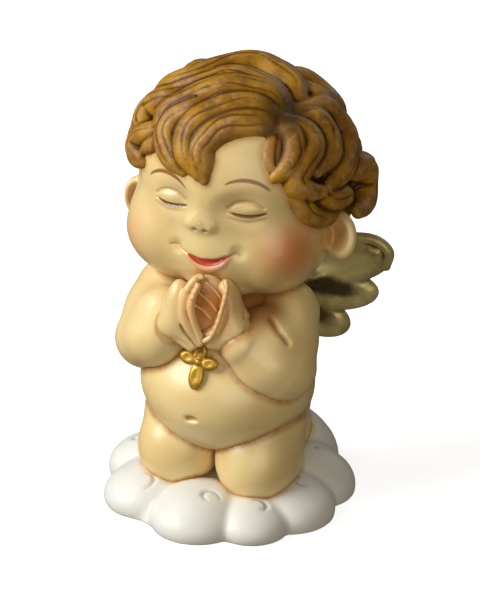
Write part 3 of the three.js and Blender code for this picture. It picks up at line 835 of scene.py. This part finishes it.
def neckColours(tree, colour):  # painted shade mixed with brown wash: the torso darkens towards the top, under the head and chin
    high = ramp(tree, sculptAxes(tree)[2], chestMiddle[2] + 1.0, chestMiddle[2] + 6.5)
    return tint(tree, colour, high, 0.85, torsoPlan["underChinWashAndShade"])


# legs: kneeling, thighs upright under the belly and shins lying back

legPlan = {
    "left_leg": {"kneeShare": (0.493, 0.242, 0.497), "side": 1},
    "right_leg": {"kneeShare": (0.507, 0.242, 0.497), "side": -1},
    "thigh": 7.8, "kneecap": (7.5, 7.2, 7.0), "shin": 6.6, "ankle": 4.6, "foot": 2.9,
    "toe": (0.95, 1.5, 1.0), "toes": 5, "toeStep": 1.5,
}


def sculptLeg(node, grain):
    side = legPlan[node]["side"]
    low, high = boxOf(node)
    clay = newClay(low - 2, high + 3, grain)
    knee = spot(node, *legPlan[node]["kneeShare"])
    ankle = knee + (-0.4 * side, 17.0, -3.1)
    thigh, shin, thin, foot = (legPlan[part] for part in ("thigh", "shin", "ankle", "foot"))
    add(clay, taper(knee + (-0.5 * side, 3.2, 6.6), knee + (0.1 * side, 0.4, 0), thigh - 0.3, thigh))
    add(clay, ball(knee + (0.2 * side, -0.9, -2.6), legPlan["kneecap"]), 2.0)
    add(clay, taper(knee + (0.9 * side, 3.6, 5), knee + (1.0 * side, 3.2, -2.6), 7.3, 6.8), 1.6)  # outer thigh
    add(clay, taper(knee + (0, 1, -0.6), ankle, shin, thin), 1.0)
    add(clay, taper(ankle, ankle + (-0.8 * side, 4.6, -1.4), thin, foot), 1.0)
    for i in range(legPlan["toes"]):  # the soles face up
        toe = ankle + ((i - 2) * legPlan["toeStep"], 5.6 - abs(i - 1.6) * 0.35, -1.8 - 0.1 * i)
        add(clay, ball(toe, legPlan["toe"]), 0.4)
    return clay


# arms: plump, bent at the elbow, the forearms meeting under the chin

armPlan = {
    "left_arm": {"shoulder": (0.52, 0.72, 0.69), "elbow": (0.63, 0.43, 0.27), "wrist": (0.30, 0.22, 0.56), "side": 1},
    "right_arm": {"shoulder": (0.37, 0.738, 0.677), "elbow": (0.28, 0.44, 0.27), "wrist": (0.76, 0.19, 0.60),
                  "side": -1},
    "radii": (6.1, 6.0, 4.3),  # at the shoulder, elbow and wrist
    "forearm": (6.0, 4.8, 5.2), "upperArm": (5.4, 5.6, 6.2), "bend": (6.0, 4.4, 5.6),
    # the last two entries give the colour and middle of painted shade below the chin, mixed with brown wash
    "underChinWashAndShade": (0.25, 0.085, 0.008), "underChinWashAndShadeMiddle": chestMiddle + (9.6, -8.6, 9.2),
}


def chinColours(tree, colour):  # painted shade mixed with brown wash on the arm below the chin
    return tint(tree, colour, nearSpot(tree, armPlan["underChinWashAndShadeMiddle"], 7.6, 2.2), 0.9, armPlan["underChinWashAndShade"])


def sculptArm(node, grain):
    side = armPlan[node]["side"]
    low, high = boxOf(node)
    clay = newClay(low - 2, high + 2, grain)
    shoulder, elbow, wrist = (spot(node, *armPlan[node][joint]) for joint in ("shoulder", "elbow", "wrist"))
    upper, bend, thin = armPlan["radii"]
    add(clay, taper(shoulder, elbow + (0, 0.4, 0.6), upper, bend - 0.5))
    add(clay, taper(elbow, wrist, bend, thin), 0.7)
    add(clay, ball(elbow * 0.58 + wrist * 0.42 + (0, -0.9, -0.8), armPlan["forearm"]), 2.2)
    add(clay, ball(shoulder * 0.5 + elbow * 0.5 + (0.4 * side, -0.6, 0.6), armPlan["upperArm"]), 2.0)
    add(clay, ball(shoulder * 0.5 + wrist * 0.5 + (0.2 * side, -2.0, -0.8), armPlan["bend"]), 2.4)
    if side > 0:  # the fold inside the left elbow
        fold = [[shoulder[0] + 0.8, shoulder[2] + 2.2, 0.36], [shoulder[0] + 2.4, shoulder[2] + 0.4, 0.2],
                [shoulder[0] + 4.0, shoulder[2] - 1.6, 0.1]]
        carve(clay, strand(onFront(clay, fold, -0.25)), 1.2)
    return clay


# hands: held together like a tulip, the right hand's fingers curving up to the left of it

handPlan = {
    "viewTurn": 23.0,        # across and forward below are turned this far to the figure's left
    "middle": (0.0, 0.427, 0.493),  # in the left hand's box; across stays on the figure's middle line
    # routes: across, forward, up from between the hands, and radius
    "fingers": (
        ((-1.6, 0.2, -7.2, 0.8), (-5.2, -1.2, -4.4, 0.95), (-6.3, -2.0, -1.3, 1.0), (-5.5, -2.6, 1.6, 0.95),
         (-4.0, -3.0, 3.4, 0.8)),
        ((-1.1, 0.7, -6.6, 0.7), (-3.7, 0.0, -3.8, 0.85), (-4.8, -0.6, -0.5, 0.9), (-4.2, -1.2, 2.2, 0.85),
         (-3.0, -1.7, 3.8, 0.7)),
        ((0.0, 1.2, -6.0, 0.65), (-2.0, 1.1, -2.6, 0.85), (-2.9, 0.7, 0.4, 0.9), (-2.2, 0.2, 4.0, 0.85),
         (-0.9, -0.1, 6.2, 0.7), (0.2, -0.3, 6.8, 0.6)),
        ((0.6, 1.7, -5.4, 0.55), (-0.9, 1.8, -1.3, 0.65), (-1.5, 1.5, 1.5, 0.7), (-1.0, 1.1, 3.6, 0.65),
         (-0.1, 0.6, 5.4, 0.6)),
    ),
    "fingerGap": ((-0.6, 1.2, -6.4, 0.2), (-2.9, 0.7, -3.2, 0.34), (-3.9, 0.2, 0.2, 0.4), (-3.3, -0.4, 3.4, 0.3)),
    "fingertips": ((-0.7, 0.2, 6.3), (-1.4, 0.4, 5.5), (-2.0, 0.6, 4.6), (-0.2, 1.1, 5.4), (-0.7, 1.4, 4.5),
                   (-1.1, 1.7, 3.5), (0.6, 0.0, 6.8)),
    "palmRidges": (((-0.8, 1.5, 2.0, 0.22), (0.6, 0.75, 0.6, 0.24), (2.0, 0.6, -1.2, 0.2)),
                   ((0.2, 0.9, 4.0, 0.2), (1.9, 0.62, 2.2, 0.24), (3.2, 0.8, 0.4, 0.2)),
                   ((1.4, 0.5, 6.0, 0.18), (2.8, 0.6, 4.6, 0.22), (4.0, 0.9, 3.0, 0.18))),
    "rim": ((1.0, 2.2, -4.9, 0.34), (2.1, 2.6, -4.0, 0.34), (3.4, 2.9, -1.1, 0.34), (4.5, 2.5, 2.8, 0.34),
            (5.1, 1.7, 5.6, 0.36), (4.9, 1.2, 6.4, 0.34)),
    "rimBeads": 13,
    "rimGap": ((2.2, 2.7, -5.4, 0.2), (4.2, 3.0, -2.4, 0.4), (5.2, 2.6, 1.0, 0.45), (5.9, 1.9, 4.4, 0.3)),
    "wristCreases": (((8.4, 0.4, 0.4, 0.1), (7.4, 2.2, -2.6, 0.2), (5.4, 2.6, -5.4, 0.15)),
                     ((9.6, -0.2, -1.2, 0.1), (8.3, 2.0, -4.2, 0.2), (6.0, 2.2, -7.2, 0.15))),
    # the hollow's warm and deep colours are painted shade inside the hands, mixed with brown wash
    "hollow": (1.9, 0.6, 1.8), "warm": (0.76, 0.38, 0.13), "deep": (0.52, 0.17, 0.012),
}
handMiddle = spot("left_hand", *handPlan["middle"])
handMiddle[0] = (spot("left_hand", 0, 0, 0)[0] + spot("right_hand", 1, 0, 0)[0]) / 2


def fromHands(across, forward, up):
    turn = math.radians(handPlan["viewTurn"])
    return handMiddle + (across * math.cos(turn) + forward * math.sin(turn),
                         across * math.sin(turn) - forward * math.cos(turn), up)


def handStrand(route, grow=0.0):
    return strand([[*fromHands(a, f, u), radius + grow] for a, f, u, radius in route])


def handColours(tree, colour):  # warm fingers round an orange-brown hollow: painted shade inside the hands, mixed with brown wash
    hollow = fromHands(*handPlan["hollow"])
    colour = tint(tree, colour, nearSpot(tree, hollow, 8.6, 4.0), 0.5, handPlan["warm"])
    # the deepest, most concave part of the hollow gets the darkest painted shade
    inner = times(tree, nearSpot(tree, hollow, 5.2, 2.0), gauge(tree, "broadCurve", 0.10, -0.12))
    return tint(tree, colour, inner, 0.85, handPlan["deep"])


def sculptRightHand(grain):
    clay = newClay(handMiddle - (11, 8, 11), handMiddle + (8, 9, 11), grain)
    add(clay, ball(fromHands(-3.0, -1.5, -1.2), (3.4, 2.6, 6.0), (0, 4, 23)))
    add(clay, ball(fromHands(-4.8, -2.4, -3.2), (3.0, 2.6, 3.8), (0, 20, 23)), 1.2)
    add(clay, ball(fromHands(1.8, -1.2, 0.4), (3.9, 1.7, 6.4), (0, 0, 23)), 0.6)   # inside of the palm
    add(clay, ball(fromHands(-3.9, -1.9, 0.6), (2.3, 2.0, 5.0), (0, 4, 23)), 1.0)  # behind the fingers
    for route in handPlan["fingers"]:
        add(clay, handStrand(route), 0.45)
    for tip in handPlan["fingertips"]:
        add(clay, ball(fromHands(*tip), (0.5, 0.5, 0.45)), 0.3)
    for ridge in handPlan["palmRidges"]:
        add(clay, handStrand(ridge), 0.35)
    carve(clay, handStrand(handPlan["fingerGap"]), 0.3)
    return clay


def sculptLeftHand(grain):
    clay = newClay(handMiddle - (8, 8, 11), handMiddle + (14, 11, 11), grain)
    add(clay, ball(fromHands(5.4, -0.8, -0.2), (2.8, 3.2, 6.3), (0, -6, 8)))
    add(clay, ball(fromHands(6.6, -0.4, -4.6), (3.9, 3.5, 4.2), (0, 20, 12)), 2.6)
    add(clay, ball(fromHands(2.6, 0.5, -5.2), (2.4, 1.8, 2.2), (0, 20, 20)), 1.2)  # heel of the hand
    carve(clay, ball(fromHands(2.1, 1.9, 2.2), (2.5, 2.3, 5.4), (0, 8, 10)), 0.4)  # the hollow
    rim, beads = handPlan["rim"], handPlan["rimBeads"]
    add(clay, handStrand(rim, 0.1), 0.25)
    for i in range(beads):
        share = i / (beads - 1) * (len(rim) - 1)
        k = min(int(share), len(rim) - 2)
        a, f, u, radius = (np.array(rim[k]) * (1 - share + k) + np.array(rim[k + 1]) * (share - k))
        add(clay, ball(fromHands(a, f, u), radius + 0.16), 0.15)
    carve(clay, handStrand(handPlan["rimGap"]), 0.35)
    for crease in handPlan["wristCreases"]:
        carve(clay, handStrand(crease), 0.55)
    return clay


# cross: four cupped petals hanging from the hands

crossPlan = {
    "knotShare": (0.45, 0.40, 0.46), "lean": 22.0, "thickness": 0.72,
    # across, up, half width, half length, turn in degrees
    "petals": ((0.05, 1.9, 1.3, 1.8, 3), (-0.15, -2.8, 1.5, 2.6, -3), (-2.2, 0.45, 1.35, 1.85, 76),
               (2.1, -0.15, 1.25, 1.75, -80)),
}


def sculptCross(grain):
    low, high = boxOf("cross_pendant")
    clay = newClay(low - 2, high + 2, grain)
    knot = spot("cross_pendant", *crossPlan["knotShare"])
    lean = math.radians(crossPlan["lean"])
    turnBack = Matrix.Rotation(-lean, 3, "X")
    for across, up, width, length, spin in crossPlan["petals"]:
        middle = knot + np.array(turnBack @ Vector((across, 0, up)))
        shape = (Matrix.Rotation(-lean, 3, "X") @ Matrix.Rotation(math.radians(-spin), 3, "Y")).to_euler()
        turn = [math.degrees(t) for t in shape]
        add(clay, ball(middle, (width, crossPlan["thickness"], length), turn), 0.25)
        face = middle + np.array(turnBack @ Vector((0, -1.15, 0)))
        carve(clay, ball(face, (width * 0.66, 0.62, length * 0.66), turn), 0.4)
    add(clay, ball(knot + (0, -0.2, 0), (0.75, 0.72, 0.75)), 0.3)
    return clay


# wings: three cupped feathers each, with rolled rims

wingPlan = {
    "left_wing": {"root": (0.124, 0.256, 0.466), "side": 1},
    "right_wing": {"root": (0.876, 0.256, 0.466), "side": -1},
    # out from the root, up from it, half length, half height, slope in degrees
    "feathers": ((12.7, 6.5, 8.8, 4.9, 14), (9.6, -0.3, 9.2, 4.3, 3), (6.5, -6.3, 6.9, 4.2, -14)),
    "spread": 8.0, "thickness": 2.1, "cup": 1.35,
    # the rolled rim of the top feather, from its middle: out, up, forward and radius
    "roll": ((-6, 3.2, 0.6, 0.6), (0, 4.9, 1.0, 0.9), (5.2, 5.0, 0.9, 1.0), (8.0, 2.6, 0.5, 1.0),
             (7.6, -0.6, 0.4, 0.8)),
    "curl": ((4.6, 3.0, 1.3, 0.6), (6.2, 2.4, 1.2, 0.6), (5.9, 0.4, 1.0, 0.4)),
}


def sculptWing(node, grain):
    side = wingPlan[node]["side"]
    low, high = boxOf(node)
    clay = newClay(low - 3, high + 3, grain)
    root = spot(node, *wingPlan[node]["root"])
    back = math.sin(math.radians(wingPlan["spread"]))
    thin = wingPlan["thickness"]

    def place(out, up, forward=0.0):
        return root + (out * side, 2.4 + out * back - forward, up)

    add(clay, taper(root, place(6.9, 4), 3.0, 2.4))
    for tier in (2, 1, 0):
        out, up, long, tall, slope = wingPlan["feathers"][tier]
        turn = (0, -side * slope, side * wingPlan["spread"])
        step = 0.4 * tier
        add(clay, ball(place(out, up, -step), (long, thin, tall), turn), 0.7)
        cupMiddle = place(out - 0.2, up + 0.3 - 0.5 * (tier > 0), -step + thin + 0.35)
        carve(clay, ball(cupMiddle, (long - 1.5, wingPlan["cup"] + 0.5, tall - 1.5), turn), 0.7)
        rise = math.sin(math.radians(slope)) * long * 0.5
        for k in (-1, 0, 1):  # quills pressed into the back
            quill = [[*place(out - long * 0.55, up + k * tall * 0.3 - 0.4, -step - thin * 0.85), 0.2],
                     [*place(out + long * 0.1, up + k * tall * 0.36, -step - thin * 0.98), 0.3],
                     [*place(out + long * 0.75, up + k * tall * 0.2 + rise, -step - thin * 0.6), 0.2]]
            carve(clay, strand(quill), 0.5)
    out, up = wingPlan["feathers"][0][:2]
    for line, soft in (("roll", 0.5), ("curl", 0.3)):
        route = [[*place(out + x, up + z, forward), radius] for x, z, forward, radius in wingPlan[line]]
        add(clay, strand(route), soft)
    return clay


# cloud: a low dome ringed with soft puffs

cloudPlan = {
    "reach": 24.8, "domeInset": 3.0, "puffRadius": 8.6, "puffHeight": 6.6, "soft": 0.8,
    # where round the rim in degrees, how wide beside the others, and how tall
    "puffs": ((-88, 1.08, 0.8), (-52, 0.86, 0.8), (-20, 1.04, 0.85), (18, 0.98, 1.05), (58, 1.0, 1.45),
              (98, 0.9, 0.85), (138, 1.0, 1.05), (180, 0.92, 0.95), (222, 1.06, 0.8)),
    # curled lines pressed into the puffs: bearing, distance out, size, start and sweep in degrees
    "curls": ((-78, 17.6, 2.0, 100, 240), (-49, 19.6, 1.9, 200, -200), (-127, 18.2, 2.2, 60, 190),
              (-16, 18.5, 2.1, 120, 220), (20, 18.2, 2.0, 30, 200), (60, 18.0, 2.1, 90, 220),
              (100, 18.6, 1.8, 140, 200), (140, 18.0, 2.2, 200, 220), (182, 18.6, 1.9, 250, 200)),
}
cloudMiddle = spot("cloud_base", 0.49, 0.5, 0.0)


def sculptCloud(grain):
    low, high = boxOf("cloud_base")
    clay = newClay(low - 2, high + (2, 2, 4), grain)
    reach = cloudPlan["reach"]
    dome = reach - cloudPlan["domeInset"]
    add(clay, ball(cloudMiddle, (dome, dome, 6.4)))
    for bearing, size, height in cloudPlan["puffs"]:
        radius = cloudPlan["puffRadius"] * size
        away = reach - radius
        x, y = away * math.cos(math.radians(bearing)), away * math.sin(math.radians(bearing))
        tall = cloudPlan["puffHeight"] * size * height
        low = ball(cloudMiddle + (x, y, cloudPlan["puffHeight"] * 0.2), (radius, radius, tall))
        top = ball(cloudMiddle + (x * 0.94, y * 0.94, tall * 0.6), (radius * 0.78, radius * 0.78, tall * 0.74))
        add(clay, low, cloudPlan["soft"])
        add(clay, top, 1.2)
    for bearing, out, size, start, sweep in cloudPlan["curls"]:
        centre = np.array([out * math.cos(math.radians(bearing)), out * math.sin(math.radians(bearing))])
        line = []
        for k in range(9):
            share = k / 8
            angle = math.radians(start + sweep * share + bearing)
            radius = size * (1 - 0.5 * share)
            x, y = centre + radius * np.array([math.cos(angle), math.sin(angle)]) + cloudMiddle[:2]
            line.append([x, y, topZ(clay, x, y) + 0.05, 0.16 + 0.22 * math.sin(math.pi * share)])
        carve(clay, strand(line, 3), 0.45)
    z = clay["low"][2] + clay["grain"] * np.arange(clay["field"].shape[2])  # the underside is cut flat
    clay["field"] = np.maximum(clay["field"], (cloudMiddle[2] - z)[None, None, :].astype(np.float32))
    return clay


def topZ(clay, x, y):  # where the top of the clay stands at x and y
    column = np.array([[x, y, z] for z in np.arange(clay["low"][2] + 14, clay["low"][2], -0.1)])
    inside = np.nonzero(valueAt(clay, clay["field"], column) < 0)[0]
    return column[inside[0]][2] if len(inside) else cloudMiddle[2]


# felt: a thin pad with a slightly ragged edge

feltPlan = {
    "grain": 0.3, "ragged": (0.12, 0.08), "fuzz": 0.4,
    "pale": (0.05, 0.19, 0.08), "deep": (0.02, 0.10, 0.04), "roughness": 0.95,
}


def sculptFelt(grain):
    low, high = boxOf("felt_pad")
    clay = newClay(low - 1.5, high + 1.5, grain)
    x, y, z = window(clay, low - 1.5, high + 1.5)[2]
    middle = (low + high) / 2
    angle = np.arctan2(y - middle[1], x - middle[0])
    broad, fine = feltPlan["ragged"]
    ragged = broad * np.sin(23 * angle) + fine * np.sin(51 * angle + 1.3)
    rim = np.hypot(x - middle[0], y - middle[1]) - (high[0] - low[0]) / 2 + ragged
    flat = np.abs(z - middle[2]) - (high[2] - low[2]) / 2
    clay["field"] = (-softMin(-(rim + 0 * z), -(flat + 0 * rim), 0.3)).astype(np.float32)
    return clay


bodyGrain, smallGrain = sculptSettings["grain"], sculptSettings["fineGrain"]
clays["torso"] = sculptTorso(bodyGrain)
for node in ("left_leg", "right_leg"):
    clays[node] = sculptLeg(node, bodyGrain)
for node in ("left_arm", "right_arm"):
    clays[node] = sculptArm(node, bodyGrain)
print("body and limbs sculpted")
clays["left_hand"] = sculptLeftHand(smallGrain * 0.8)
clays["right_hand"] = sculptRightHand(smallGrain * 0.8)
clays["cross_pendant"] = sculptCross(smallGrain * 0.6)
print("hands and cross sculpted")
for node in ("left_wing", "right_wing"):
    clays[node] = sculptWing(node, bodyGrain)
clays["cloud_base"] = sculptCloud(bodyGrain)
clays["felt_pad"] = sculptFelt(feltPlan["grain"])
print("wings, cloud and felt sculpted")

# materials for hair, gold, cloud, felt and steel

hairPaint = {
    "ochre": (0.41, 0.20, 0.002), "umber": (0.21, 0.088, 0.007), "mauve": (0.46, 0.255, 0.085),
    "wash": (0.10, 0.036, 0.003), "dark": (0.03, 0.012, 0.003),
    "roughness": 0.42, "shine": 0.24, "varnish": 0.02, "varnishRoughness": 0.3,
}


def makeHair():
    material, tree, shader = newMaterial("goldenBrownHair")
    patches = ramp(tree, noise(tree, 0.2, 3, 0.55), 0.38, 0.6)
    colour = tint(tree, hairPaint["ochre"], patches, 0.9, hairPaint["umber"])
    streak = ramp(tree, noise(tree, 0.55, 3, 0.6, distortion=0.6), 0.4, 0.68)
    streak = maths(tree, "ADD", times(tree, streak, 0.7), times(tree, reading(tree, "tone"), 0.3))
    pale = times(tree, gauge(tree, "broadCurve", -0.02, 0.14), streak)  # dry brushed tops
    colour = tint(tree, colour, pale, 0.9, hairPaint["mauve"])
    colour = tint(tree, colour, gauge(tree, "fineCurve", 0.02, -0.12), 0.85, hairPaint["wash"])
    # painted shade: dark at the parting, where the locks dive in; the deepest grooves get the same dark brown as a
    # wash
    parting = times(tree, nearSpot(tree, onHair(*hairPlan["parting"], 1.5), 7.0, 2.0), 0.8)
    deep = larger(tree, gauge(tree, "broadCurve", -0.04, -0.3), parting)
    colour = tint(tree, colour, deep, 0.95, hairPaint["dark"])
    painted(tree, shader, colour, hairPaint["roughness"], 1.2, 0.07, 0.1)
    shader.inputs["Specular IOR Level"].default_value = hairPaint["shine"]
    shader.inputs["Coat Weight"].default_value = hairPaint["varnish"]
    shader.inputs["Coat Roughness"].default_value = hairPaint["varnishRoughness"]
    bump(tree, shader, noise(tree, 1.8, 4, 0.6), 0.2, 0.0003)
    return material


goldPaint = {
    "wing": {"metal": (0.42, 0.33, 0.12), "pale": (0.66, 0.58, 0.28), "dark": (0.045, 0.022, 0.010),
             "roughness": 0.34, "metallic": 0.3, "grain": 0.22},
    "cross": {"metal": (0.47, 0.26, 0.022), "pale": (0.60, 0.37, 0.06), "dark": (0.30, 0.12, 0.015),
              "roughness": 0.36, "metallic": 0.6, "grain": 0.6},
}


def makeGold(name, paint, extras=None):
    material, tree, shader = newMaterial(name)
    grain = paint["grain"]
    colour = blend(tree, ramp(tree, noise(tree, grain, 4, 0.6), 0.35, 0.7), paint["metal"], paint["pale"])
    if extras:
        colour = extras(tree, colour)
    low = larger(tree, gauge(tree, "broadCurve", 0.02, -0.28), gauge(tree, "near", 1.6, 0.0))
    low = larger(tree, low, gauge(tree, "fineCurve", -0.02, -0.2))
    colour = tint(tree, colour, low, 0.9, paint["dark"])
    painted(tree, shader, colour, paint["roughness"], grain * 5, 0.06, 0.12)
    shader.inputs["Metallic"].default_value = paint["metallic"]
    bump(tree, shader, noise(tree, grain * 6, 4, 0.55), 0.2, 0.0002)
    return material


def featherColours(tree, colour):  # painted shade: brown in the upper part of each lower feather, under the feather above; painted light on the paler top feather
    x, _, z = sculptAxes(tree)
    root = spot("left_wing", *wingPlan["left_wing"]["root"])
    out = minus(tree, maths(tree, "ABSOLUTE", x), root[0])
    up = minus(tree, z, root[2])
    # painted light on the top feather, painted shade on the two below
    for tier, strength, paint in ((0, 0.7, "pale"), (1, 0.9, "dark"), (2, 0.8, "dark")):
        middle, rise, long, tall, _ = wingPlan["feathers"][tier]
        lift = 1.0 if tier else -0.6
        across = maths(tree, "DIVIDE", minus(tree, out, middle - 0.6), long * 0.72)
        above = maths(tree, "DIVIDE", minus(tree, up, rise + lift), tall * 0.62)
        away = maths(tree, "ADD", diagonal(tree, across, above), times(tree, noise(tree, 0.6), 0.5))
        colour = tint(tree, colour, ramp(tree, away, 1.35, 0.85), strength, goldPaint["wing"][paint])
    return colour


cloudPaint = {
    "white": (0.78, 0.78, 0.74), "grey": (0.52, 0.52, 0.47), "skinWash": (0.72, 0.50, 0.20),
    "roughness": 0.42,
}


def makeCloudPaint():
    material, tree, shader = newMaterial("cloudWhite")
    # painted shade: grey in the creases between the puffs, with a little random mottle
    low = larger(tree, gauge(tree, "broadCurve", -0.02, -0.3), gauge(tree, "fineCurve", -0.03, -0.22))
    mottle = ramp(tree, noise(tree, 0.25), 0.3, 0.75)
    low = maths(tree, "ADD", times(tree, low, 0.8), times(tree, mottle, 0.08))
    colour = blend(tree, low, cloudPaint["white"], cloudPaint["grey"])
    colour = tint(tree, colour, gauge(tree, "near", 1.1, 0.1), 0.65, cloudPaint["skinWash"])
    painted(tree, shader, colour, cloudPaint["roughness"], 1.4, 0.05, 0.1)
    bump(tree, shader, noise(tree, 1.3, 4, 0.5), 0.15, 0.0003)
    return material


def makeFelt():
    material, tree, shader = newMaterial("greenFelt")
    fibres = ramp(tree, noise(tree, 9, 5, 0.7), 0.3, 0.7)
    tree.links.new(blend(tree, fibres, feltPlan["deep"], feltPlan["pale"]), shader.inputs["Base Color"])
    shader.inputs["Roughness"].default_value = feltPlan["roughness"]
    shader.inputs["Sheen Weight"].default_value = feltPlan["fuzz"]
    bump(tree, shader, fibres, 0.5, 0.0002)
    return material


steelPaint = {"pale": (0.6, 0.6, 0.6), "deep": (0.42, 0.42, 0.43), "roughness": (0.28, 0.42)}


def makeSteel():
    material, tree, shader = newMaterial("pegSteel")
    grain = ramp(tree, noise(tree, 3, vector=objectCoordinates(tree, 1 / toMetres)), 0.3, 0.7)
    tree.links.new(blend(tree, grain, steelPaint["deep"], steelPaint["pale"]), shader.inputs["Base Color"])
    shader.inputs["Metallic"].default_value = 1.0
    tree.links.new(ramp(tree, grain, 0.0, 1.0, *steelPaint["roughness"]), shader.inputs["Roughness"])
    return material


def objectCoordinates(tree, scale):
    source = tree.nodes.new("ShaderNodeTexCoord")
    mapping = tree.nodes.new("ShaderNodeMapping")
    mapping.inputs["Scale"].default_value = (scale, scale, scale)
    tree.links.new(source.outputs["Object"], mapping.inputs["Vector"])
    return mapping.outputs[0]


# the pieces

places["head"] = places["hair"] = headPlace
skin = makeSkin("creamSkin", nearReach=1.1)
handSkin = makeSkin("creamHands", handColours, 0.6, 0.7)
armSkin = makeSkin("creamArms", chinColours, 1.1)
torsoSkin = makeSkin("creamTorso", neckColours, 1.7)
faceSkin = makeSkin("creamFace", faceColours, washed=0.5)
wingGold = makeGold("oldGold", goldPaint["wing"], featherColours)
crossGold = makeGold("brightGold", goldPaint["cross"])

# piece name, CAD node, material, slot, and what lies close enough to stain it
table = [
    ("headAndFace", "head", faceSkin, "skin", ("hair", "torso", "left_arm", "right_arm")),
    ("wavyHair", "hair", makeHair(), "hair_brown", ()),
    ("roundTorso", "torso", torsoSkin, "skin",
     ("head", "left_arm", "right_arm", "left_leg", "right_leg", "left_wing", "right_wing")),
    ("leftLeg", "left_leg", skin, "skin", ("torso", "cloud_base", "right_leg")),
    ("rightLeg", "right_leg", skin, "skin", ("torso", "cloud_base", "left_leg")),
    ("leftArm", "left_arm", armSkin, "skin", ("torso", "head", "left_hand")),
    ("rightArm", "right_arm", armSkin, "skin", ("torso", "head", "right_hand")),
    ("leftHand", "left_hand", handSkin, "skin", ("right_hand", "left_arm", "head")),
    ("rightHand", "right_hand", handSkin, "skin", ("left_hand", "right_arm", "head")),
    ("crossPendant", "cross_pendant", crossGold, "bright_gold", ()),
    ("leftWing", "left_wing", wingGold, "old_gold", ("torso", "left_arm", "hair")),
    ("rightWing", "right_wing", wingGold, "old_gold", ("torso", "right_arm", "hair")),
    ("cloudBase", "cloud_base", makeCloudPaint(), "white_cloud", ("left_leg", "right_leg")),
    ("feltPad", "felt_pad", makeFelt(), "felt", ()),
]
for name, node, material, slot, neighbours in table:
    piece = meshFrom(node, neighbours)
    piece.name = name
    if "tone" in clays[node]:
        values = valueAt(clays[node], clays[node]["tone"], spotsOf(piece))
        piece.data.attributes.new("tone", "FLOAT", "POINT").data.foreach_set("value", values.astype(np.float32))
    finish(piece, material, node)
print("pieces made")

steel = makeSteel()
for node in ("neck_peg", "left_knee_peg", "right_knee_peg", "left_wing_peg", "right_wing_peg"):
    for thing in bpy.data.objects:
        if thing.type == "MESH" and (thing.name == node or thing.name.startswith(node + ".")):
            thing.data.materials.clear()
            thing.data.materials.append(steel)
print("pegs painted")

# stage, light and camera

stagePlan = {
    "floorSize": 6, "floorPale": (0.74, 0.74, 0.74), "floorDeep": (0.70, 0.70, 0.70),
    "floorGlow": 0.78, "floorRoughness": 0.8,
    "worldColour": (1, 0.89, 0.70, 1), "worldStrength": 0.10, "aimHeight": 0.04,
}


def makeStage():
    bpy.ops.mesh.primitive_plane_add(size=stagePlan["floorSize"])
    floor = bpy.context.object
    floor.name = "paleFloor"
    material, tree, shader = newMaterial("paleFloor")
    mottle = noise(tree, 12, vector=objectCoordinates(tree, 1))
    colour = blend(tree, mottle, stagePlan["floorDeep"], stagePlan["floorPale"])
    tree.links.new(colour, shader.inputs["Base Color"])
    shader.inputs["Roughness"].default_value = stagePlan["floorRoughness"]
    shader.inputs["Emission Color"].default_value = (1, 1, 1, 1)
    shader.inputs["Emission Strength"].default_value = stagePlan["floorGlow"]
    floor.data.materials.append(material)
    floor.visible_diffuse = floor.visible_glossy = False  # the floor shows but throws no light back up
    world = bpy.data.worlds.new("studio")
    world.use_nodes = True
    world.node_tree.nodes["Background"].inputs[0].default_value = stagePlan["worldColour"]
    world.node_tree.nodes["Background"].inputs[1].default_value = stagePlan["worldStrength"]
    bpy.context.scene.world = world


lightPlan = [
    {"name": "key", "place": (-0.52, -0.40, 0.48), "size": 0.6, "power": 7.8, "colour": (1.0, 0.99, 0.97)},
    {"name": "front", "place": (0.36, -0.62, 0.22), "size": 0.6, "power": 1.8, "colour": (1.0, 0.93, 0.76)},
    {"name": "back", "place": (0.15, 0.65, 0.40), "size": 0.6, "power": 0.7, "colour": (1, 1, 1)},
]


def softLight(plan):  # a round soft box aimed at the middle of the figure
    lamp = bpy.data.lights.new(plan["name"], "AREA")
    lamp.shape = "DISK"
    lamp.size = plan["size"]
    lamp.energy = plan["power"]
    lamp.color = plan["colour"]
    holder = bpy.data.objects.new(plan["name"], lamp)
    holder.location = plan["place"]
    aim = Vector((0, 0, stagePlan["aimHeight"]))
    holder.rotation_euler = (aim - holder.location).to_track_quat("-Z", "Y").to_euler()
    bpy.context.scene.collection.objects.link(holder)


viewPlan = {"azimuth": 23.0, "elevation": 24.5, "distance": 500.0, "lens": 160.0, "aimShare": (0.5455, 0.433, 0.4745)}


def makeCamera():
    low, high = (np.array(corner) for corner in (cadLow, cadHigh))
    aim = low + (high - low) * np.array(viewPlan["aimShare"])
    turn, tilt = math.radians(viewPlan["azimuth"]), math.radians(viewPlan["elevation"])
    away = np.array([math.sin(turn) * math.cos(tilt), -math.cos(turn) * math.cos(tilt), math.sin(tilt)])
    camera = bpy.data.objects.new("camera", bpy.data.cameras.new("camera"))
    camera.data.lens = viewPlan["lens"]
    camera.data.clip_start = 0.01
    camera.location = Vector(aim + away * viewPlan["distance"] * toMetres)
    camera.rotation_euler = Vector(-away).to_track_quat("-Z", "Y").to_euler()
    bpy.context.scene.collection.objects.link(camera)
    bpy.context.scene.camera = camera


makeStage()
for light in lightPlan:
    softLight(light)
makeCamera()
bpy.context.scene.view_settings.view_transform = "Standard"
print("stage, light and camera ready")
